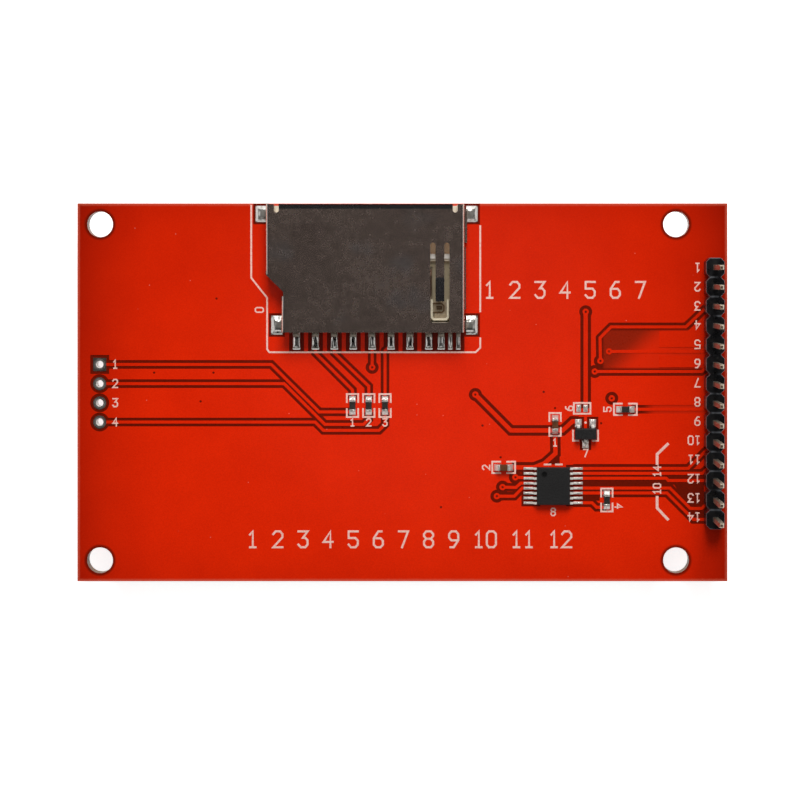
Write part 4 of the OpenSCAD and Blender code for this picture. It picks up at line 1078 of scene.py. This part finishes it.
# %% Numbers beside the pins, lands and parts
small, medium, large = 0.95, 1.05, 2.1
mesh = bmesh.new()
for k, pin in enumerate(pins):
    printed(mesh, str(k + 1), (39.35, middle(pin).y / MM + 0.55), 1.1, turn=2)
for k, land in enumerate(edge_pads):
    printed(mesh, str(k + 1), (-38.3, middle(land).y / MM - 0.5), medium)


def of_part(name):
    """The middle of a part, in mm."""
    return middle(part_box(name)) / MM


for text, x, y, turn in (*((k, of_part("resistor_" + k).x, -4.45, 0) for k in "123"),
                         ("4", 28.15, of_part("resistor_4").y - 0.8, 3),
                         ("5", 27.6, of_part("resistor_5").y, 1),
                         ("1", of_part("capacitor_1").x, -7.1, 0),
                         ("2", 11.55, of_part("capacitor_2").y, 1),
                         ("6", 22.55, of_part("jumper_solder").y, 1),
                         ("7", 24.25, -8.5, 0),
                         ("8", of_part("controller_body").x, -16.3, 0)):
    printed(mesh, text, (x, y), small, turn=turn, centred=True)
printed(mesh, "0", (-18.4, 10.9), medium, turn=1, centred=True)
printed(mesh, "10 14", (34.15, -11.6), small, turn=1, centred=True)
for text, *at in (("1 2 3 4 5 6 7", 10.95, 12.5), ("1 2 3 4 5 6 7 8 9 10 11 12", -20.4, -20.5)):
    printed(mesh, text, at, large, pen=0.27, pitch=1.38)
numbers = joined("printed_numbers", mesh, ink, "print_ink", smooth=False)
print("numbers:", len(numbers.data.polygons), "faces")

# %% Frame and catch under the window
# The window in the cover shows a frame of the moulding, two ribs and a small bent catch. All are
# drawn with the same ribbon, the frame as a tall wall, the ribs as short blocks and the catch as a
# low loop. The frame and the catch are painted darker than their metal and nylon elsewhere, as
# painted shade under the cover, and the ribs paler, as painted light where light comes through.
window = Vector((middle((base_lo, base_hi)).x / MM + 9.76, base_lo.y / MM + 2.9))


def under_window(name, strips, foot, tall, finish, slot):
    """A piece of ribbons; each strip is a width and points from the window's middle, in mm."""
    mesh = bmesh.new()
    for wide, points in strips:
        ribbon(mesh, [(window + Vector(p)) * MM for p in points], wide * MM, top_z + foot * MM,
               tall * MM)
    return joined(name, mesh, finish, slot, smooth=False)


wall = [(-1.06, 1.0), (-1.06, -1.25), (-0.84, -1.5), (0.84, -1.5), (1.06, -1.25), (1.06, 1.0)]
loop = [(-0.85, 0.55), (0.25, 0.55), (0.55, 0.25), (0.55, -0.35), (0.3, -0.6), (-0.9, -0.6)]
inner = [(-0.35, 0.12), (0.2, 0.12), (0.2, -0.15), (-0.3, -0.15)]
ribs = [(0.62, [(at - 0.2, 6.8), (at + 0.2, 6.8)]) for at in (-0.9, 0.9)]
under_window("window_frame", [(0.27, wall)], 0.7, 1.2, frame_nylon_painted_shade, "socket_nylon")
under_window("window_rib", ribs, 0.93, 0.26, pale_nylon_painted_light, "socket_nylon")
under_window("window_catch", [(0.17, loop), (0.2, inner)], 0.66, 0.12, dark_brass_painted_shade,
             "contact_metal")
print("window at", [round(v, 2) for v in window], "mm")

# %% [markdown]
# ## The display panel
#
# The panel is a sandwich. From the front: a clear touch film, a ring of adhesive, the touch glass,
# a black foam ring, the display glass with dark polarisers, films, the light guide and a white
# plastic frame. Most of it is only seen edge-on, but each sheet has its own material, because the
# edges of glass, film and foam catch light in different ways.

# %% Clear film and glass
film = Finish("touch_film", Base_Color=(0.93, 0.95, 0.96), Transmission_Weight=1.0, IOR=1.46)
fine, = grains(film, (2600, 3))
look(film, None, (fine, 0.06, 0.12), (fine, 0.003, 0.3))
dress(film, "touch_film")

glass = Finish("clear_glass", Transmission_Weight=1.0, IOR=1.5)
cloudy, = grains(glass, (200, 2))
up, = place_on(glass, "u")
ground_edge = below(abs(up), 0.4, 0.6)
look(glass, blend(ground_edge, (0.93, 0.97, 0.95), (0.62, 0.78, 0.72)),
     Roughness=ground_edge * 0.4 + between(cloudy, 0.02, 0.05))
dress(glass, "touch_glass", "filter_glass", "array_glass")

# %% Polarisers, ring and foam
dress(grained("dark_polariser", (60, 2), (0.012, 0.013, 0.016), (0.02, 0.021, 0.025),
              (0.22, 0.34), (0.003, 0.4), (5200, 3), gloss=0.5),
      "front_polariser", "rear_polariser")
dress(grained("ring_adhesive", (3000, 3), (0.3, 0.31, 0.32), (0.42, 0.43, 0.44), (0.4, 0.6),
              gloss=0.3), "touch_spacer")


def foam(name, scale, share, skin, hollow, **fixed):
    """Foam with small open cells, painted darker in the hollows as painted shade."""
    made = Finish(name, **fixed)
    cells, (fine,) = effect(made, specks, Scale=scale, Share=share), grains(made, (5200, 3))
    look(made, blend(cells, skin, hollow), bump=(fine - cells, 0.03, 0.8))
    return made


dress(foam("dark_foam", 5200, 0.6, (0.022, 0.022, 0.023), (0.01, 0.01, 0.01), Roughness=0.9,
           gloss=0.2), "panel_gasket")
dress(foam("white_foam", 4200, 0.7, (0.72, 0.71, 0.67), (0.55, 0.54, 0.5), Roughness=0.85,
           gloss=0.25), "mounting_tape")
print("glass, foam and tape ready")

# %% Films, light guide and lamps
light_film = grained("light_film", (3600, 3), (0.68, 0.7, 0.72), (0.8, 0.81, 0.82), (0.25, 0.4),
                     gloss=0.5)
y, = place_on(light_film, "y")
bumped(light_film, maths("SINE", y * 60000.0), 0.01, 0.5)
dress(light_film, "prism_film", "diffuser_film", "light_guide", "reflector")
dress(grained("driver_silicon", (3200, 4), (0.1, 0.11, 0.13), (0.18, 0.19, 0.21), (0.2, 0.32),
              metal=0.6), "driver_chip")
dress(grained("lamp_white", (2200, 3), (0.74, 0.7, 0.42), (0.84, 0.82, 0.66), (0.4, 0.55),
              gloss=0.4), "backlight_leds")

frame_white = grained("frame_white", (260, 3), (0.7, 0.7, 0.68), (0.8, 0.8, 0.79),
                      (0.42, 0.58), (0.01, 0.5), (5200, 4), gloss=0.4)
softened("panel_frame", "backlight_frame", 0.12, frame_white, "frame_white", steps=3)
print("panel dressed")

# %% [markdown]
# ## Flexible circuits
#
# The panel's circuits are amber film with copper lines inside, seen as fine stripes that run
# along the strip. They turn round the end of the panel and are soldered under the board. The
# stripes are a wave across the strip; the colour and the bump come from the same wave.

# %% Amber film with lines
line_pitch = 0.5 * MM
amber = Finish("amber_film", gloss=0.55)
y, = place_on(amber, "y")
line = ramp(maths("SINE", y * (2 * math.pi / line_pitch)), -0.2, 0.2)
fine, = grains(amber, (3600, 3))
look(amber, blend(line, tone(fine, (0.36, 0.16, 0.025), (0.46, 0.22, 0.04)),
                  tone(fine, (0.5, 0.25, 0.06), (0.6, 0.32, 0.09))),
     (fine, 0.22, 0.36), (line, 0.01, 0.5))
softened("panel_ribbon", "display_flex", 0.02, amber, "flex_amber", sharp=50)
softened("touch_ribbon", "touch_flex", 0.015, amber, "flex_amber", sharp=50)
dress(amber, "led_strip")

# %% Joints of the flexible circuits
# Each joint is built the right way up at the floor, and then turned over under the board.
mesh = bmesh.new()
for k, joint in enumerate(lumps("flex_solder")):
    lo, hi = joint
    faces = joint_skin(mesh, flat_box(lo.x, lo.y, hi.x, hi.y), around(middle(joint), 0.3, 0.12),
                       hi.z - lo.z - 0.03 * MM, 0.03 * MM, 200 + k, steps=(12, 8))
    for v in {v for face in faces for v in face.verts}:
        v.co.z = hi.z - v.co.z
    bmesh.ops.reverse_faces(mesh, faces=faces)
joined("ribbon_joints", mesh, solder, "solder", "flex_solder")
print("flexible circuits ready")

# %% [markdown]
# ## Last look
#
# The box of the dressed model is printed beside that of the solids.

# %% Print the box of the solids and of the dressed model
shown = [o for o in bpy.data.objects if o.type == "MESH" and not o.hide_render]
print(len(shown), "meshes shown")
dressed_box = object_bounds()
for label, box in (("solids ", cad_box), ("dressed", dressed_box)):
    print(label, [round(v / MM, 2) for v in (*box[0], *box[1])])
